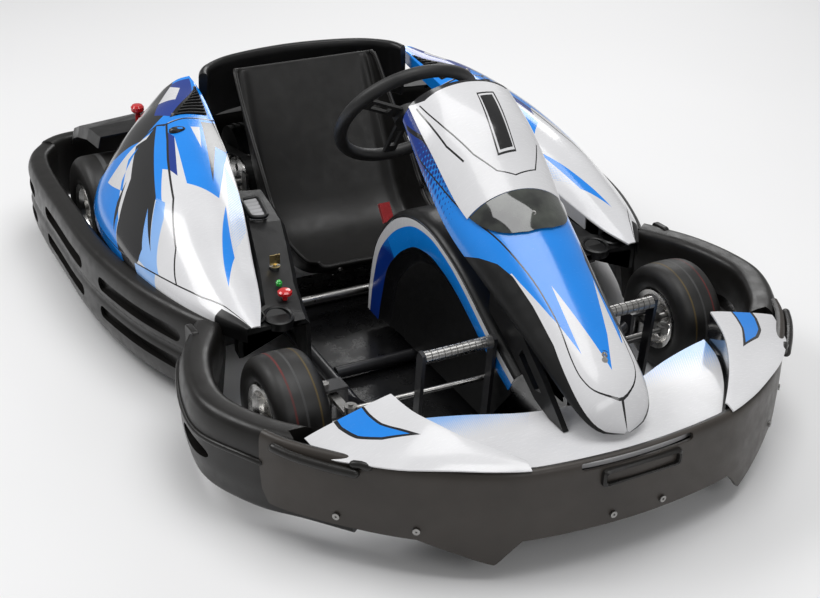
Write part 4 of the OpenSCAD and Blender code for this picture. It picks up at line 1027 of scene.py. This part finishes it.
def make_console_details(side, s):
    # Louvre over the cockpit vent: a rounded frame and five curved blades
    corners = rounded([(288, 196), (332, 196), (338, 112), (300, 104)], 14, 5)
    frame_line = [(s * x, y, console_height(y) + 13) for x, y in corners]
    tube_piece(f"louvre_frame_{side}", frame_line + frame_line[:2], 5, "black", tips=False)
    for k in range(5):
        y = 184 - k * 16
        z = console_height(y) + 7
        rings = [[(s * x, y + dy, z + dz) for dy, dz in ((-7, -5), (-3, 1), (1, 5), (6, 7), (6, 5.5), (2, 3.5),
                                                         (-2, -1),
                                                         (-6,
                                                          -6))] for x in (292 + k * 1.5, 313, 331 + k * 1.2)]
        finish_piece(ring_skin(rings), f"louvre_blade_{side}_{k}", ["silver"], angle=50,
                     stands_for=["vent_grilles"] if k == 0 and s > 0 else ())
    for k, (x, y, r) in enumerate(((462, -200, 24), (408, -214, 30))):
        z = console_height(y) + 6
        disc_piece(f"cup_well_{side}_{k}", (s * x, y, z),
                   ((r - 5, -18), (r - 4, -2), (r - 3, 3), (r, 5), (r + 4, 3), (r + 5, -6), (r + 5, -16)),
                   "black",
                   "moulded_black", 8)


# ---- seat
SEAT = [(0, 72, 148, 40, 176, 16), (1, 110, 112, 20, 190, 40), (2, 190, 82, 4, 200, 78),
        (3, 280, 78, 0, 205, 110),
        (4, 360, 98, -30, 205, 128), (5, 420, 150, -55, 205, 132), (6, 462, 220, -60, 205, 118),
        (7, 502, 300, -63, 203, 88), (8, 544, 384, -64, 200, 56), (9, 582, 462, -66, 196, 30),
        (10, 590, 480, -66, 190, 18)]


def make_seat():
    def surface(u, v):
        y, z, tilt, half, high = station(SEAT, u)
        line = [(-half - 4, high), (-half, high * 0.55), (-half + 14, high * 0.16), (-half * 0.66, 2), (0, 0),
                (half * 0.66, 2), (half - 14, high * 0.16), (half, high * 0.55), (half + 4, high)]
        x, n = along(line, (v + 1) / 2)
        channel = 0.0
        for place in (-0.42, 0.42):
            channel += 5.0 * math.exp(-((v - place) / 0.05) ** 2)
        channel *= min(1, max(0, (u - 3.4) / 1.5)) * min(1, max(0, (9.6 - u) / 1.0))
        n += channel
        a = math.radians(tilt)
        return x, y + n * math.sin(a), z + n * math.cos(a)

    panel("seat_shell", surface, (0, 10), (-1, 1), (80, 72), [], ["seat"], wall=7, rounded_edge=2.6,
          stands_for=["seat"])
    # Rolled rim round the shell
    rim = [surface(u / 6, -1) for u in range(0, 61)] + [surface(10, -1 + 2 * k / 40) for k in range(1, 40)] \
        + [surface(u / 6, 1) for u in range(60, -1, -1)]
    tube_piece("seat_rim", rim, 4.5, "seat", sides=10)
    tube_piece("seat_lip", [surface(0, -1 + 2 * k / 40) for k in range(41)], 4.5, "seat", sides=10)
    for name, x in (("seat_bolt_right", -120), ("seat_bolt_left", 120)):
        disc = ring_skin([[(x + r * math.cos(a), 96 + r * math.sin(a), 131 + h)
                           for a in [2 * math.pi * k / 20 for k in range(20)]]
                          for r, h in ((9, -6), (9, 0), (7, 2.5), (3, 3))])
        finish_piece(disc, name, ["steel"], slot="steel")


# ---- rear hoop
def make_hoop():
    line = smooth([(284, 562), (258, 606), (170, 652), (0, 674), (-170, 652), (-258, 606), (-284, 562)], 80)
    rings = []
    for i, p in enumerate(line):
        a, b = line[max(i - 1, 0)], line[min(i + 1, len(line) - 1)]
        run = Vector((b[0] - a[0], b[1] - a[1])).normalized()
        k = abs(2 * i / (len(line) - 1) - 1)
        shape = rounded([(-6, 354), (-13, 430), (-11, 488), (-2, 504 - 8 * k * k), (9, 501 - 8 * k * k),
                         (13, 486), (8, 430),
                         (6, 354)], 10)
        rings.append([(p[0] - run.y * q[0], p[1] + run.x * q[0], q[1]) for q in shape])
    finish_piece(ring_skin(rings), "rear_hoop_moulding", ["black"], stands_for=["rear_hoop"],
                 rounded_edge=3, angle=60)


# ---- tyres
def make_tyre(name, body, node, x, y, z, diameter, width, lines):
    bead, r, w = 64, diameter / 2, width / 2
    half = [(bead, w - 14), (bead + 8, w - 9), (bead + 14, w - 5), (bead + 24, w - 1), (bead + 36, w),
            (r - 20, w - 1),
            (r - 12, w - 5), (r - 6, w - 11), (r - 2.5, w - 19), (r - 1, w - 30), (r - 0.2, w * 0.25), (r, 0)]
    outline = smooth([(a, -b) for a, b in half] + [(a, b) for a, b in half[-2::-1]], 70)
    bm = bmesh.new()
    turns = 96
    rows = [[bm.verts.new((x + off, y + rad * math.cos(2 * math.pi * k / turns),
                           z + rad * math.sin(2 * math.pi * k / turns)))
             for k in range(turns)] for rad, off in outline]
    keys = ["tyre", "red_line", "grey_line", "gold_line"]
    places = {}
    for key, at in lines:
        places[min(range(len(outline) - 1),
                   key=lambda i: abs(outline[i][1] - at * w) if outline[i][0] > r - 14 else 1e9)] = key
    for j in range(len(rows) - 1):
        for k in range(turns):
            face = bm.faces.new((rows[j][k], rows[j][(k + 1) % turns], rows[j + 1][(k + 1) % turns],
                                 rows[j + 1][k]))
            face.material_index = keys.index(places.get(j, "tyre"))
    for k in range(turns):
        bm.faces.new((rows[-1][k], rows[-1][(k + 1) % turns], rows[0][(k + 1) % turns], rows[0][k]))
    bmesh.ops.recalc_face_normals(bm, faces=bm.faces)
    return finish_piece(bm, name, keys, body=body, slot="tyre", stands_for=[node] if node else ())


# ---- the kart
place_camera()
place_lights()
make_skirt()
both_sides(make_guard)
both_sides(make_side_bumper)
make_rear_bumper()
both_sides(make_side_deck)
make_centre_deck()
both_sides(make_fairing)
make_nose()
make_shield()
make_shroud()
make_seat()
make_hoop()
both_sides(make_console_details)
disc_piece("ready_lamp", (-366, -118, console_height(-118) + 6), ((7, -4), (7, 3), (5.5, 4), (5.5, 6), (3, 8.5),
                                                                  (0.6, 9)),
           "green", "red", 8)
for side, s in (("left", 1), ("right", -1)):
    make_tyre(f"front_tyre_{side}_slick", f"front_wheel_{side}", f"front_tyre_{side}", s * 484.5, -430, 127,
              254, 115,
              (("red_line", 0.45 * s), ("grey_line", 0.0), ("gold_line", -0.5 * s)))
make_tyre("rear_tyre_left_slick", "live_axle", "rear_tyres", 510, 640, 140, 280, 180,
          (("grey_line", 0.5), ("red_line", -0.4)))
make_tyre("rear_tyre_right_slick", "live_axle", None, -510, 640, 140, 280, 180,
          (("grey_line", -0.5), ("red_line", 0.4)))

# Materials of the nodes that keep their CAD shape
NODE_LOOKS = {
    "frame": "side_rails cross_tubes throttle_pedal brake_pedal",
    "floor": "floor_pan",
    "black": "front_carrier rear_cover console_right console_left nose_legs batteries",
    "silver": "vent_grilles",
    "steel": "switch_panel seat_mounts steering_column tie_rod_right tie_rod_left kingpins "
             "knuckle_right knuckle_left rear_axle brake_disc throttle_roller brake_roller "
             "fasteners",
    "brass": "key",
    "red": "stop_button cutoff_knob",
    "strap": "grab_strap",
    "grip": "steering_wheel drive_belt",
    "alloy": "front_rim_right front_rim_left rear_rims axle_pulley motor_pulley",
    "cast": "axle_bearings brake_caliper motor",
    "blue": "deck_inserts",
}
for key, nodes in NODE_LOOKS.items():
    for node in nodes.split():
        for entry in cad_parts[node].material_slots:
            entry.material = M[key]

floor_data = bpy.data.meshes.new("floor")
floor_data.from_pydata([(-40, -40, 0), (40, -40, 0), (40, 40, 0), (-40, 40, 0)], [], [(0, 1, 2, 3)])
floor = bpy.data.objects.new("floor", floor_data)
bpy.context.scene.collection.objects.link(floor)
ground = Nodes("studio_floor")
ground.link(ground.ramp(ground.noise(0.7), (0.3, (0.86, 0.86, 0.865)), (0.7, (0.88, 0.88, 0.885))),
            ground.shader.inputs["Base Color"])
ground.uniform(Roughness=0.55)
floor_data.materials.append(ground.material)
